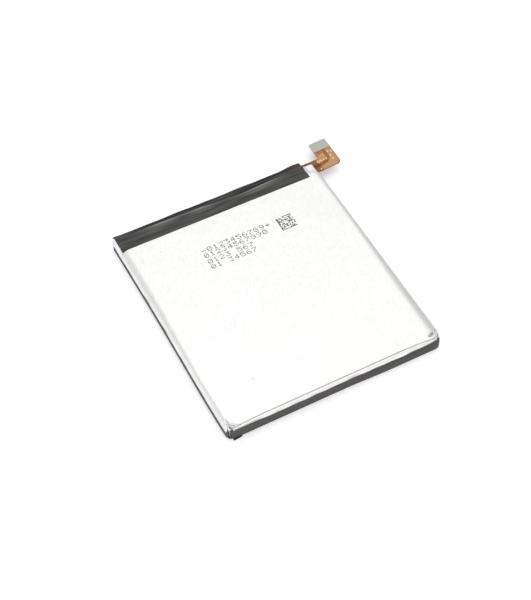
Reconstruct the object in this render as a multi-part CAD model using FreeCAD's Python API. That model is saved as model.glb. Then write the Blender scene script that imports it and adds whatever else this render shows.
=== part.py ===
# Pouch battery cell for a thin hand-held device, in millimetres.
#
# A Z-folded electrode stack sits in a drawn cup of aluminium laminate.  A flat lid closes
# the cup, and the side seals are folded down against its walls.  The far seal, the terrace,
# stands out level with the lid.  The protection board hangs under it, wrapped with it in
# black tape.  A flexible circuit leaves the board to the right, turns away from the cell
# and ends in a board-to-board connector with a steel stiffener on its back.
#
# Frame: origin at the centre of the label's underside, +Z up through the lid, +Y towards
# the terrace and the connector, +X to the side where the flexible circuit comes out.
import FreeCAD, Part

import math
import os

V = FreeCAD.Vector

# ---- driving dimensions -------------------------------------------------------------
# the cell as a whole
BODY_WIDTH = 60.0            # X, over the label on both sides
BODY_LENGTH = 64.0           # Y, from the label's near face to the cup's end wall
BODY_HEIGHT = 4.85           # Z, from the label's underside to the top of the lid
CORNER_RADIUS = 2.2          # upright corners of the wrapped body
BASE_RADIUS = 0.5            # edge between the walls and the underside

# films
FILM = 0.12                  # aluminium laminate
LABEL_FILM = 0.10            # black wrap on the underside
TAPE_FILM = 0.08             # black tape over the terrace
SHEET_FILM = 0.04            # insulating sheet under the protection board

# folded seals
WING_DEPTH = 3.2             # how far the side seals reach down from the lid
WING_GAP = 0.06              # air between a folded seal and the cup's wall
TERRACE_LENGTH = 2.4         # how far the far seal stands out from the end wall
TERRACE_INSET = 0.4          # how much narrower than the folded body it is on the right
TERRACE_CORNER = 0.5

# label
SIDE_FLAP = 2.1              # height of the label on the long sides
NEAR_FLAP = 3.2              # height of the label on the near side
LABEL_TAB_LENGTH = 2.4       # tail of film left flat at the near-left corner
LABEL_TAB_WIDTH = 0.3        # how far it stands out from the near side
LABEL_TAB_INSET = 0.9        # from the body's left side to the tail of film

# tape over the terrace
TAPE_OVERLAP = 1.8           # how far it reaches over the lid
TAPE_LEFT_INSET = 0.5        # from the body's left side to the tape's left end
TAPE_RIGHT_INSET = 3.4       # the terrace stays bare over this length on the right
TAPE_WALL_REACH = 0.65       # how far it runs down the end wall
TAPE_BEND = 0.35             # inner radius of its bends
TAPE_SHOULDER_DROP = 0.65    # from the lid's level to the tape's far shoulder
TAPE_SHOULDER_INSET = 0.48   # from the tape's far face to that shoulder

# electrode stack
ANODE = 0.15
CATHODE = 0.13
SEPARATOR = 0.03
LAYER_GAP = 0.005            # air between neighbouring layers
STACK_CLEARANCE = 0.06       # above and below the stack
STACK_CORNER_ROOM = 0.40     # between the separator's corners and the cup
STACK_HEAD_ROOM = 1.60       # for the foils and tabs at the terrace end
ANODE_SIDE_MARGIN = 0.35     # separator beyond anode
ANODE_END_MARGIN = 0.40
CATHODE_MARGIN = 0.60        # anode beyond cathode, all round
FLAG_WIDTH = 5.6             # bare foil flag of each sheet
FLAG_REACH = 0.72            # from the anode's edge to the foil bundle
BUNDLE_THICKNESS = 0.45
WRAP_TAPE = 0.03             # clear tape that holds the stack
WRAP_TAPE_WIDTH = 8.0
WRAP_TAPE_REACH = 4.0

# tabs
TAB_WIDTH = 4.0
TAB_THICKNESS = 0.08
TAB_X = 9.0                  # each tab's distance from the centre line
TAB_SEALANT = 0.04           # sealing film on each face of a tab
TAB_SEALANT_SIDE = 0.8       # and beyond each edge
TAB_SEALANT_PROUD = 0.12     # and beyond the terrace
TAB_RUN_OUT = 0.14           # straight length outside the terrace before the bend
TAB_RETURN = 1.9             # straight length that lies on the weld pad

# protection board
BOARD_THICKNESS = 0.50
BOARD_LEFT_INSET = 5.5       # from the body's left side to the board's left end
BOARD_RIGHT_INSET = 4.5      # from the body's right side to its right end
BOARD_WIDTH = 4.00           # Y
BOARD_WALL_GAP = 0.28        # from the end wall to the board
WELD_PAD_THICKNESS = 0.15
WELD_PAD_LENGTH = 5.2        # X
WELD_PAD_WIDTH = 2.4         # Y
FOAM_GAP = 0.02              # above and below the foam strip
FOAM_WIDTH = 1.9
FOAM_END_INSET = 0.6
TALLEST_CHIP = 0.90          # the room kept under the board
# each component under the board: x, share of the board's width, length, width, height
CUTOFF = (-17.0, 0.50, 3.4, 2.6, TALLEST_CHIP)
CUTOFF_LEAD = (2.2, 1.4, 0.2)          # reach from the middle, width, height
PROTECTION_IC = (-4.5, 0.50, 2.0, 1.8, 0.60)
DUAL_MOSFET = (0.6, 0.50, 3.0, 2.6, 0.75)
SENSE_RESISTOR = (6.4, 0.50, 3.2, 1.6, 0.55)
THERMISTOR = (10.6, 0.30, 1.0, 0.5, 0.50)
CAPACITOR_PLACES = ((-8.0, 0.75), (10.6, 0.75), (13.0, 0.75))
CAPACITOR_SIZE = (1.0, 0.5, 0.50)
RESISTOR_PLACES = ((-8.0, 0.25), (-10.2, 0.25), (-10.2, 0.75), (13.0, 0.30))
RESISTOR_SIZE = (1.0, 0.5, 0.35)
BOARD_CORNER = 0.4
INSULATOR_END_GAP = 1.0      # from the soldered strip to the insulating sheet
SOLDER_COUNT = 6
SOLDER_PITCH = 0.58
SOLDER_WIDTH = 0.40
SOLDER_REACH = 0.35
SOLDER_HEIGHT = 0.12
CHIP_GAP = 0.05              # from the tallest chip to the insulating sheet
TAPE_GAP = 0.03              # from the insulating sheet to the tape
TAPE_EDGE_GAP = 0.12         # from the flexible circuit to the tape

# flexible circuit
FLEX = 0.15
FLEX_WIDTH = 4.45            # Y, of the strip and of the arm
FLEX_WALL_GAP = 0.15         # from the end wall's plane to the strip's near edge
FLEX_SOLDER_LENGTH = 8.0     # X, the stretch soldered under the board
FLEX_LEVEL = 2.80            # Z of its mid-plane
ROOT_BEND_OFFSET = 0.80      # from the body's right side to the root's bend line
BEND_GAP = 0.16              # slit at each bend line
ARM_REACH = 7.10             # X, from the root's bend line to the outer edge
TAIL_WIDTH = 5.10            # X
TAIL_BEND_Y = 6.20           # Y, from the end wall to the tail's bend line
TAIL_REACH = 3.90            # Y, from the tail's bend line to its end
FLEX_CORNER = 1.30           # outer corner of the arm
TAIL_CORNER = 0.45
INNER_CORNER = 0.25
FLEX_RISE = 4.0              # degrees by which the arm stands above the level

# marks on the flexible circuit
PAD_THICKNESS = 0.02
PAD_WIDTH = 0.42
PAD_LENGTH = 0.70
SMALL_PAD_SCALE = 0.75
RING_OUTER = 0.42
RING_HOLE = 0.20
RING_PLACE = (1.60, -1.10)             # from the root's bend line, and from the strip's far edge
PAD_ROW = (0.45, -1.10, 0.78)          # first pad from the tail's left edge, row from the far edge, pitch
PAD_ROW_COUNT = 3
# other pads: distance from the outer edge and from the strip's far edge
OUTER_PADS = ((1.55, 1.00), (0.62, 0.60), (1.50, -0.65), (1.45, -2.00))
SMALL_PADS = ((4.00, 0.70), (3.30, 0.55), (6.15, -3.80))

# stiffener and connector
STIFFENER = 0.20
STIFFENER_LENGTH = 3.30      # Y
ADHESIVE = 0.03
CONNECTOR_LENGTH = 4.40      # X
CONNECTOR_WIDTH = 2.40       # Y
CONNECTOR_HEIGHT = 0.85
CONNECTOR_WALL = 0.62
CONNECTOR_FLOOR = 0.22
CONTACT_COUNT = 4            # signal contacts on each long side
CONTACT_PITCH = 0.50
CONTACT_WIDTH = 0.20
CONTACT_METAL = 0.07
CONTACT_FOOT = 0.32
POWER_WIDTH = 1.20
POWER_METAL = 0.08
POWER_CLIP = 0.30
POWER_FOOT = 0.22
BLADE_SETBACK = 0.15         # from the housing's mouth to the signal contacts' ends
HOUSING_CORNER = 0.15

# ---- planes worked out from them ----------------------------------------------------
RIGHT = BODY_WIDTH / 2
LEFT = -RIGHT
END_WALL = BODY_LENGTH / 2
NEAR = -END_WALL
LID_BOTTOM = BODY_HEIGHT - FILM
FLANGE_BOTTOM = LID_BOTTOM - FILM
WING_OUTER = RIGHT - LABEL_FILM
CUP_HALF = WING_OUTER - 2 * FILM - WING_GAP
CUP_NEAR = NEAR + LABEL_FILM
CUP_CORNER = CORNER_RADIUS - LABEL_FILM
CUP_BASE_RADIUS = BASE_RADIUS - LABEL_FILM
WING_BOTTOM = BODY_HEIGHT - WING_DEPTH
TERRACE_HALF = WING_OUTER - TERRACE_INSET
TERRACE_END = END_WALL + TERRACE_LENGTH

BOARD_BOTTOM = FLEX_LEVEL + FLEX / 2
BOARD_TOP = BOARD_BOTTOM + BOARD_THICKNESS
BOARD_LEFT = LEFT + BOARD_LEFT_INSET
BOARD_RIGHT = RIGHT - BOARD_RIGHT_INSET
BOARD_NEAR = END_WALL + BOARD_WALL_GAP
BOARD_FAR = BOARD_NEAR + BOARD_WIDTH
WELD_TOP = BOARD_TOP + WELD_PAD_THICKNESS
TAB_LOW = WELD_TOP + TAB_THICKNESS / 2
SHEET_TOP = BOARD_BOTTOM - TALLEST_CHIP - CHIP_GAP
TAPE_FLOOR = SHEET_TOP - SHEET_FILM - TAPE_GAP

FLEX_NEAR = END_WALL + FLEX_WALL_GAP
FLEX_FAR = FLEX_NEAR + FLEX_WIDTH
FLEX_BOTTOM = FLEX_LEVEL - FLEX / 2
FLEX_TOP = FLEX_LEVEL + FLEX / 2
ROOT_BEND_X = RIGHT + ROOT_BEND_OFFSET
ARM_RIGHT = ROOT_BEND_X + ARM_REACH
TAIL_LEFT = ARM_RIGHT - TAIL_WIDTH
TAIL_BEND = END_WALL + TAIL_BEND_Y
TAIL_END = TAIL_BEND + TAIL_REACH
TAIL_MIDDLE = ARM_RIGHT - TAIL_WIDTH / 2

STACK_BOTTOM = LABEL_FILM + FILM + STACK_CLEARANCE
STACK_TOP = LID_BOTTOM - STACK_CLEARANCE
# a square corner in a round one needs this much room, and so does the base's inner radius
CORNER_NEED = (CUP_CORNER - FILM) * (1 - math.sqrt(0.5)) + STACK_CORNER_ROOM
STACK_ROOM = max(CORNER_NEED, CUP_BASE_RADIUS - FILM)
RIBBON_HALF = CUP_HALF - FILM - STACK_ROOM
RIBBON_NEAR = CUP_NEAR + FILM + STACK_ROOM
RIBBON_FAR = END_WALL - FILM - STACK_HEAD_ROOM
ANODE_HALF = RIBBON_HALF - SEPARATOR - ANODE_SIDE_MARGIN
ANODE_NEAR = RIBBON_NEAR + ANODE_END_MARGIN
ANODE_FAR = RIBBON_FAR - ANODE_END_MARGIN
BUNDLE_NEAR = ANODE_FAR + FLAG_REACH
BUNDLE_FAR = BUNDLE_NEAR + BUNDLE_THICKNESS

PAIR_PITCH = ANODE + CATHODE + 2 * SEPARATOR + 4 * LAYER_GAP
FIRST_ANODE = STACK_BOTTOM + SEPARATOR + LAYER_GAP
SPARE_HEIGHT = STACK_TOP - STACK_BOTTOM - ANODE - 2 * SEPARATOR - 2 * LAYER_GAP
CATHODE_COUNT = int(SPARE_HEIGHT / PAIR_PITCH)
ANODE_COUNT = CATHODE_COUNT + 1
SEPARATOR_COUNT = 2 * ANODE_COUNT


# ---- small helpers ------------------------------------------------------------------
def box(x0, x1, y0, y1, z0, z1):
    """A box between two values on each axis."""
    return Part.makeBox(x1 - x0, y1 - y0, z1 - z0, V(x0, y0, z0))


def round_upright_edges(solid, radius, wanted):
    """Round the upright edges whose x and y satisfy wanted(x, y)."""
    edges = []
    for edge in solid.Edges:
        first, last = edge.Vertexes[0].Point, edge.Vertexes[-1].Point
        upright = abs(first.x - last.x) < 1e-6 and abs(first.y - last.y) < 1e-6
        if upright and wanted(first.x, first.y):
            edges.append(edge)
    return solid.makeFillet(radius, edges)


def tray_block(half, y0, y1, z0, z1, corner, base):
    """A block with round upright corners and a round edge at its base."""
    block = box(-half, half, y0, y1, z0, z1)
    block = round_upright_edges(block, corner, lambda x, y: True)
    rim = [edge for edge in block.Edges if edge.BoundBox.ZMax < z0 + 1e-6]
    return block.makeFillet(base, rim)


def strip_along(points, thickness, side, x0, x1, bend):
    """A film of one thickness that follows (y, z) points, bent round at each inner point.

    The film lies on the given side of the path: 1 is the left of the walking direction
    seen from +X, and -1 the right.
    """
    def offset_path(distance):
        moved = []
        count = len(points)
        for i, (y, z) in enumerate(points):
            normals = []
            for j in (i - 1, i):
                if 0 <= j < count - 1:
                    dy = points[j + 1][0] - points[j][0]
                    dz = points[j + 1][1] - points[j][1]
                    size = math.hypot(dy, dz)
                    normals.append((-dz / size, dy / size))
            ny = sum(n[0] for n in normals)
            nz = sum(n[1] for n in normals)
            scale = distance * len(normals) / (ny * ny + nz * nz) if normals else 0
            moved.append((y + ny * scale, z + nz * scale))
        return moved

    outer = offset_path(side * thickness)
    outline = [V(x0, y, z) for y, z in points] + [V(x0, y, z) for y, z in reversed(outer)]
    face = Part.Face(Part.makePolygon(outline + outline[:1]))
    solid = face.extrude(V(x1 - x0, 0, 0))
    for i in range(1, len(points) - 1):
        before, here, after = points[i - 1], points[i], points[i + 1]
        turn = (here[0] - before[0]) * (after[1] - here[1])
        turn -= (here[1] - before[1]) * (after[0] - here[0])
        outward = turn * side < 0
        near_radius = bend if outward else bend + thickness
        far_radius = bend + thickness if outward else bend
        for (y, z), radius in ((here, near_radius), (outer[i], far_radius)):
            edges = [
                edge for edge in solid.Edges
                if all(math.hypot(v.Point.y - y, v.Point.z - z) < 1e-4 for v in edge.Vertexes)
            ]
            solid = solid.makeFillet(radius, edges)
    return solid


def group(solids):
    """Several separate solids that share one node."""
    return Part.makeCompound(solids)


def fuse_all(solids):
    """One solid out of several that touch or overlap."""
    return solids[0].multiFuse(solids[1:]).removeSplitter()


def plate(outline, z0, z1):
    """A flat plate between two heights, from (x, y) corners."""
    points = [V(x, y, z0) for x, y in outline]
    return Part.Face(Part.makePolygon(points + points[:1])).extrude(V(0, 0, z1 - z0))


def raised(shape):
    """Turn a piece of the arm or the tail up about the root's bend line."""
    turned = shape.copy()
    turned.rotate(V(ROOT_BEND_X, 0, FLEX_LEVEL), V(0, -1, 0), FLEX_RISE)
    return turned


# ---- the pouch ----------------------------------------------------------------------
def wing_pair(inner_x, top, thickness, root):
    """Both side seals of one film layer: out from the cup, then down against it.

    The left one runs on beside the terrace; the right one stops where the circuit leaves.
    """
    y0 = CUP_NEAR + CUP_CORNER
    solids = []
    for side, y1 in ((-1, TERRACE_END - TERRACE_CORNER), (1, END_WALL - CUP_CORNER)):
        down = sorted((side * inner_x, side * (inner_x + thickness)))
        out = sorted((side * root, side * (inner_x + thickness)))
        solids.append(box(down[0], down[1], y0, y1, WING_BOTTOM, top))
        solids.append(box(out[0], out[1], y0, y1, top - thickness, top))
    return solids


def terrace_block(left, z0, z1):
    """One film of the terrace, from x = left to its right side, with round far corners."""
    block = box(left, TERRACE_HALF, END_WALL - CUP_CORNER, TERRACE_END, z0, z1)
    return round_upright_edges(block, TERRACE_CORNER, lambda x, y: y > END_WALL)


def tab_channel(x):
    """The room that a tab and its sealing film press into the two sealed films."""
    half = TAB_WIDTH / 2 + TAB_SEALANT_SIDE
    depth = TAB_THICKNESS / 2 + TAB_SEALANT
    return box(x - half, x + half, BUNDLE_NEAR, TERRACE_END + 1, LID_BOTTOM - depth, LID_BOTTOM + depth)


def pouch_cup():
    outer = tray_block(CUP_HALF, CUP_NEAR, END_WALL, LABEL_FILM, LID_BOTTOM, CUP_CORNER, CUP_BASE_RADIUS)
    inner = tray_block(
        CUP_HALF - FILM, CUP_NEAR + FILM, END_WALL - FILM, LABEL_FILM + FILM, BODY_HEIGHT,
        CUP_CORNER - FILM, CUP_BASE_RADIUS - FILM,
    )
    terrace = terrace_block(FILM - WING_OUTER, FLANGE_BOTTOM, LID_BOTTOM)
    wings = wing_pair(CUP_HALF + WING_GAP, LID_BOTTOM, FILM, CUP_HALF - FILM / 2)
    cup = fuse_all([outer, terrace] + wings).cut(inner)
    return cup.cut(group([tab_channel(-TAB_X), tab_channel(TAB_X)])).Solids[0]


def pouch_lid():
    body = box(-WING_OUTER, WING_OUTER, CUP_NEAR, END_WALL, LID_BOTTOM, BODY_HEIGHT)
    body = round_upright_edges(body, CUP_CORNER, lambda x, y: True)
    terrace = terrace_block(-WING_OUTER, LID_BOTTOM, BODY_HEIGHT)
    wings = wing_pair(WING_OUTER - FILM, BODY_HEIGHT, FILM, CUP_HALF)
    lid = fuse_all([body, terrace] + wings)
    return lid.cut(group([tab_channel(-TAB_X), tab_channel(TAB_X)])).Solids[0]


# ---- the electrode stack ------------------------------------------------------------
def sheet_levels():
    """The underside of every anode, and of every cathode between them."""
    anodes = [FIRST_ANODE + PAIR_PITCH * i for i in range(ANODE_COUNT)]
    cathodes = [z + ANODE + SEPARATOR + 2 * LAYER_GAP for z in anodes[:-1]]
    return anodes, cathodes


def electrode_sheets(levels, thickness, half, near, far, tab_x):
    """Coated sheets, each with a bare foil flag that reaches the foil bundle."""
    sheets = []
    for z in levels:
        coated = box(-half, half, near, far, z, z + thickness)
        flag = box(tab_x - FLAG_WIDTH / 2, tab_x + FLAG_WIDTH / 2, far, BUNDLE_NEAR, z, z + thickness)
        sheets.append(fuse_all([coated, flag]))
    return group(sheets)


def anode_sheets():
    return electrode_sheets(sheet_levels()[0], ANODE, ANODE_HALF, ANODE_NEAR, ANODE_FAR, -TAB_X)


def cathode_sheets():
    margin = CATHODE_MARGIN
    return electrode_sheets(
        sheet_levels()[1], CATHODE, ANODE_HALF - margin, ANODE_NEAR + margin, ANODE_FAR - margin, TAB_X
    )


def separator_ribbon():
    """One ribbon folded to and fro, with a layer under and over every sheet."""
    half_pitches = [ANODE + SEPARATOR + 2 * LAYER_GAP, CATHODE + SEPARATOR + 2 * LAYER_GAP]
    z = STACK_BOTTOM
    pieces = []
    for i in range(SEPARATOR_COUNT):
        pieces.append(box(-RIBBON_HALF, RIBBON_HALF, RIBBON_NEAR, RIBBON_FAR, z, z + SEPARATOR))
        step = half_pitches[i % 2]
        if i < SEPARATOR_COUNT - 1:
            edges = [RIBBON_HALF - SEPARATOR, RIBBON_HALF]
            if i % 2:
                edges = [-RIBBON_HALF, -RIBBON_HALF + SEPARATOR]
            pieces.append(box(edges[0], edges[1], RIBBON_NEAR, RIBBON_FAR, z, z + step + SEPARATOR))
        z += step
    return fuse_all(pieces)


def stack_height_top():
    """The top of the last separator layer."""
    return sheet_levels()[0][-1] + ANODE + LAYER_GAP + SEPARATOR


def stack_tapes():
    """Four clear tapes folded round the stack's long edges."""
    top = stack_height_top()
    length = RIBBON_FAR - RIBBON_NEAR
    tapes = []
    for share in (0.25, 0.75):
        y0 = RIBBON_NEAR + share * length - WRAP_TAPE_WIDTH / 2
        y1 = y0 + WRAP_TAPE_WIDTH
        for side in (-1, 1):
            edge = sorted((side * RIBBON_HALF, side * (RIBBON_HALF + WRAP_TAPE)))
            over = sorted((side * (RIBBON_HALF - WRAP_TAPE_REACH), side * (RIBBON_HALF + WRAP_TAPE)))
            upright = box(edge[0], edge[1], y0, y1, STACK_BOTTOM, top)
            low = box(over[0], over[1], y0, y1, STACK_BOTTOM - WRAP_TAPE, STACK_BOTTOM)
            high = box(over[0], over[1], y0, y1, top, top + WRAP_TAPE)
            tapes.append(fuse_all([upright, low, high]))
    return group(tapes)


def foil_bundle(tab_x):
    """The foil flags of one polarity, pressed together and welded under their tab."""
    half = FLAG_WIDTH / 2
    top = LID_BOTTOM - TAB_THICKNESS / 2
    return box(tab_x - half, tab_x + half, BUNDLE_NEAR, BUNDLE_FAR, FIRST_ANODE, top)


# ---- tabs ---------------------------------------------------------------------------
def tab_solid(x):
    """A tab: out through the terrace, round its bend and back onto the weld pad."""
    high = LID_BOTTOM + TAB_THICKNESS / 2
    low = TAB_LOW - TAB_THICKNESS / 2
    outer = (high - low) / 2
    bend_y = TERRACE_END + TAB_RUN_OUT
    middle = (high + low) / 2
    x0 = x - TAB_WIDTH / 2
    straight_out = box(x0, x0 + TAB_WIDTH, BUNDLE_NEAR, bend_y, high - TAB_THICKNESS, high)
    straight_back = box(x0, x0 + TAB_WIDTH, bend_y - TAB_RETURN, bend_y, low, low + TAB_THICKNESS)
    centre = V(x0, bend_y, middle)
    ring = Part.makeCylinder(outer, TAB_WIDTH, centre, V(1, 0, 0))
    ring = ring.cut(Part.makeCylinder(outer - TAB_THICKNESS, TAB_WIDTH, centre, V(1, 0, 0)))
    half_ring = ring.common(box(x0, x0 + TAB_WIDTH, bend_y, bend_y + 2 * outer, low, high))
    return fuse_all([straight_out, half_ring, straight_back])


def tab_sealant(x):
    """Two strips of sealing film melted together round a tab."""
    half = TAB_WIDTH / 2 + TAB_SEALANT_SIDE
    depth = TAB_THICKNESS / 2 + TAB_SEALANT
    y0 = END_WALL - FILM
    y1 = TERRACE_END + TAB_SEALANT_PROUD
    sleeve = box(x - half, x + half, y0, y1, LID_BOTTOM - depth, LID_BOTTOM + depth)
    tab = box(x - TAB_WIDTH / 2, x + TAB_WIDTH / 2, y0 - 1, y1 + 1,
              LID_BOTTOM - TAB_THICKNESS / 2, LID_BOTTOM + TAB_THICKNESS / 2)
    return sleeve.cut(tab)


# ---- protection board ---------------------------------------------------------------
def protection_board():
    board = box(BOARD_LEFT, BOARD_RIGHT, BOARD_NEAR, BOARD_FAR, BOARD_BOTTOM, BOARD_TOP)
    return round_upright_edges(board, BOARD_CORNER, lambda x, y: True)


def weld_pads():
    middle = BOARD_NEAR + BOARD_WIDTH / 2
    pads = []
    for x in (-TAB_X, TAB_X):
        pads.append(box(x - WELD_PAD_LENGTH / 2, x + WELD_PAD_LENGTH / 2,
                        middle - WELD_PAD_WIDTH / 2, middle + WELD_PAD_WIDTH / 2, BOARD_TOP, WELD_TOP))
    return group(pads)


def terrace_foam():
    """Adhesive foam that holds the board to the underside of the terrace."""
    y0 = END_WALL + BOARD_WALL_GAP
    top = FLANGE_BOTTOM - FOAM_GAP
    bottom = TAB_LOW + TAB_THICKNESS / 2 + FOAM_GAP
    return box(BOARD_LEFT + FOAM_END_INSET, BOARD_RIGHT - FOAM_END_INSET, y0, y0 + FOAM_WIDTH, bottom, top)


def chip(x, y_share, length, width, height):
    """One component under the board, placed by its share of the board's width."""
    y = BOARD_NEAR + y_share * BOARD_WIDTH
    return box(x - length / 2, x + length / 2, y - width / 2, y + width / 2,
               BOARD_BOTTOM - height, BOARD_BOTTOM)


def thermal_cutoff():
    """A flat breaker with a solder lead at each end."""
    x, share = CUTOFF[:2]
    reach, width, height = CUTOFF_LEAD
    leads = [chip(x + side * reach, share, width, width, height) for side in (-1, 1)]
    return fuse_all([chip(*CUTOFF)] + leads)


def chips(places, size):
    """Like components that share one node."""
    return group([chip(x, share, *size) for x, share in places])


def board_insulator():
    """The sheet that keeps the components' undersides off the tape."""
    right = BOARD_RIGHT - FLEX_SOLDER_LENGTH - INSULATOR_END_GAP
    return box(BOARD_LEFT, right, BOARD_NEAR, BOARD_FAR, SHEET_TOP - SHEET_FILM, SHEET_TOP)


# ---- wraps --------------------------------------------------------------------------
def tape_route():
    """The tape's inner face in (y, z), from the lid over the terrace and back under it."""
    far = max(BOARD_FAR + TAPE_BEND, FLEX_FAR + TAPE_EDGE_GAP)
    return [
        (END_WALL - TAPE_OVERLAP, BODY_HEIGHT),
        (TERRACE_END + TAB_RUN_OUT, BODY_HEIGHT),
        (far - TAPE_SHOULDER_INSET, BODY_HEIGHT - TAPE_SHOULDER_DROP),
        (far, BOARD_BOTTOM),
        (far, TAPE_FLOOR),
        (END_WALL, TAPE_FLOOR),
        (END_WALL, TAPE_FLOOR - TAPE_WALL_REACH),
    ]


def top_tape():
    left = LEFT + TAPE_LEFT_INSET
    right = RIGHT - TAPE_RIGHT_INSET
    return strip_along(tape_route(), TAPE_FILM, 1, left, right, TAPE_BEND)


def label_wrap():
    """Black film over the underside, with flaps up three sides and one flat tail.

    The left flap runs on over the side seal beside the terrace.
    """
    far = END_WALL - CUP_BASE_RADIUS
    outer = tray_block(RIGHT, NEAR, END_WALL + 5, 0, BODY_HEIGHT, CORNER_RADIUS, BASE_RADIUS)
    inner = tray_block(RIGHT - LABEL_FILM, NEAR + LABEL_FILM, END_WALL + 5, LABEL_FILM, BODY_HEIGHT + 1,
                       CORNER_RADIUS - LABEL_FILM, BASE_RADIUS - LABEL_FILM)
    film = outer.cut(inner)
    sides = box(LEFT - 1, RIGHT + 1, NEAR + CORNER_RADIUS, END_WALL + 6, SIDE_FLAP, BODY_HEIGHT + 1)
    front = box(LEFT - 1, RIGHT + 1, NEAR - 1, END_WALL + 6, NEAR_FLAP, BODY_HEIGHT + 1)
    beyond = box(LEFT - 1, RIGHT + 1, far, END_WALL + 6, -1, BODY_HEIGHT + 1)
    film = film.cut(group([sides, front, beyond]))
    tail_x = LEFT + LABEL_TAB_INSET
    tail = box(tail_x, tail_x + LABEL_TAB_LENGTH, NEAR - LABEL_TAB_WIDTH, NEAR + CORNER_RADIUS, 0, LABEL_FILM)
    beside_terrace = box(LEFT, LEFT + LABEL_FILM, far, TERRACE_END - TERRACE_CORNER, BASE_RADIUS, SIDE_FLAP)
    return fuse_all([film, tail, beside_terrace])


# ---- flexible circuit and connector -------------------------------------------------
def flex_root():
    """The strip under the board's right end, up to the root's bend line."""
    x0 = BOARD_RIGHT - FLEX_SOLDER_LENGTH
    return box(x0, ROOT_BEND_X - BEND_GAP / 2, FLEX_NEAR, FLEX_FAR, FLEX_BOTTOM, FLEX_TOP)


def solder_joints():
    """Solder along the strip's end under the board."""
    x1 = BOARD_RIGHT - FLEX_SOLDER_LENGTH
    middle = (FLEX_NEAR + FLEX_FAR) / 2
    joints = []
    for i in range(SOLDER_COUNT):
        y = middle + (i - (SOLDER_COUNT - 1) / 2) * SOLDER_PITCH
        joints.append(box(x1 - SOLDER_REACH, x1, y - SOLDER_WIDTH / 2, y + SOLDER_WIDTH / 2,
                          BOARD_BOTTOM - SOLDER_HEIGHT, BOARD_BOTTOM))
    return group(joints)


def ring_place():
    """Centre of the ring mark, near the arm's inner corner."""
    return ROOT_BEND_X + RING_PLACE[0], FLEX_FAR + RING_PLACE[1]


def flex_arm():
    """The flat L beyond the bend line, as far as the tail's own bend line."""
    outline = [
        (ROOT_BEND_X + BEND_GAP / 2, FLEX_NEAR),
        (ARM_RIGHT, FLEX_NEAR),
        (ARM_RIGHT, TAIL_BEND - BEND_GAP / 2),
        (TAIL_LEFT, TAIL_BEND - BEND_GAP / 2),
        (TAIL_LEFT, FLEX_FAR),
        (ROOT_BEND_X + BEND_GAP / 2, FLEX_FAR),
    ]
    arm = plate(outline, FLEX_BOTTOM, FLEX_TOP)
    arm = round_upright_edges(arm, FLEX_CORNER, lambda x, y: x > ARM_RIGHT - 1e-3 and y < FLEX_NEAR + 1e-3)
    arm = round_upright_edges(
        arm, INNER_CORNER, lambda x, y: abs(x - TAIL_LEFT) < 1e-3 and abs(y - FLEX_FAR) < 1e-3
    )
    x, y = ring_place()
    hole = Part.makeCylinder(RING_HOLE, 1, V(x, y, FLEX_BOTTOM - 0.5))
    return raised(arm.cut(hole))


def flex_test_pads():
    """Bare round-ended pads and one ring on the arm's upper face."""
    first, row, pitch = PAD_ROW
    large = [(TAIL_LEFT + first + pitch * i, FLEX_FAR + row) for i in range(PAD_ROW_COUNT)]
    large += [(ARM_RIGHT - x, FLEX_FAR + y) for x, y in OUTER_PADS]
    small = [(ARM_RIGHT - x, FLEX_FAR + y) for x, y in SMALL_PADS]
    pads = []
    for places, scale in ((large, 1.0), (small, SMALL_PAD_SCALE)):
        for x, y in places:
            half_x = scale * PAD_WIDTH / 2
            half_y = scale * PAD_LENGTH / 2
            top = FLEX_TOP + PAD_THICKNESS
            pad = box(x - half_x, x + half_x, y - half_y, y + half_y, FLEX_TOP, top)
            pads.append(raised(round_upright_edges(pad, 0.96 * half_x, lambda px, py: True)))
    x, y = ring_place()
    ring = Part.makeCylinder(RING_OUTER, PAD_THICKNESS, V(x, y, FLEX_TOP))
    hole = Part.makeCylinder(RING_HOLE, PAD_THICKNESS, V(x, y, FLEX_TOP))
    pads.append(raised(ring.cut(hole)))
    return group(pads)


def flex_tail():
    """The end of the flexible circuit, beyond the tail's bend line."""
    tail = box(TAIL_LEFT, ARM_RIGHT, TAIL_BEND + BEND_GAP / 2, TAIL_END, FLEX_BOTTOM, FLEX_TOP)
    return raised(round_upright_edges(tail, TAIL_CORNER, lambda x, y: y > TAIL_END - 1e-3))


def stiffener_shape(z0, z1):
    shape = box(TAIL_LEFT, ARM_RIGHT, TAIL_END - STIFFENER_LENGTH, TAIL_END, z0, z1)
    return raised(round_upright_edges(shape, TAIL_CORNER, lambda x, y: y > TAIL_END - 1e-3))


def stiffener_adhesive():
    return stiffener_shape(FLEX_TOP, FLEX_TOP + ADHESIVE)


def stiffener_plate():
    return stiffener_shape(FLEX_TOP + ADHESIVE, FLEX_TOP + ADHESIVE + STIFFENER)


def connector_middle():
    return TAIL_MIDDLE, TAIL_END - STIFFENER_LENGTH / 2


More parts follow.
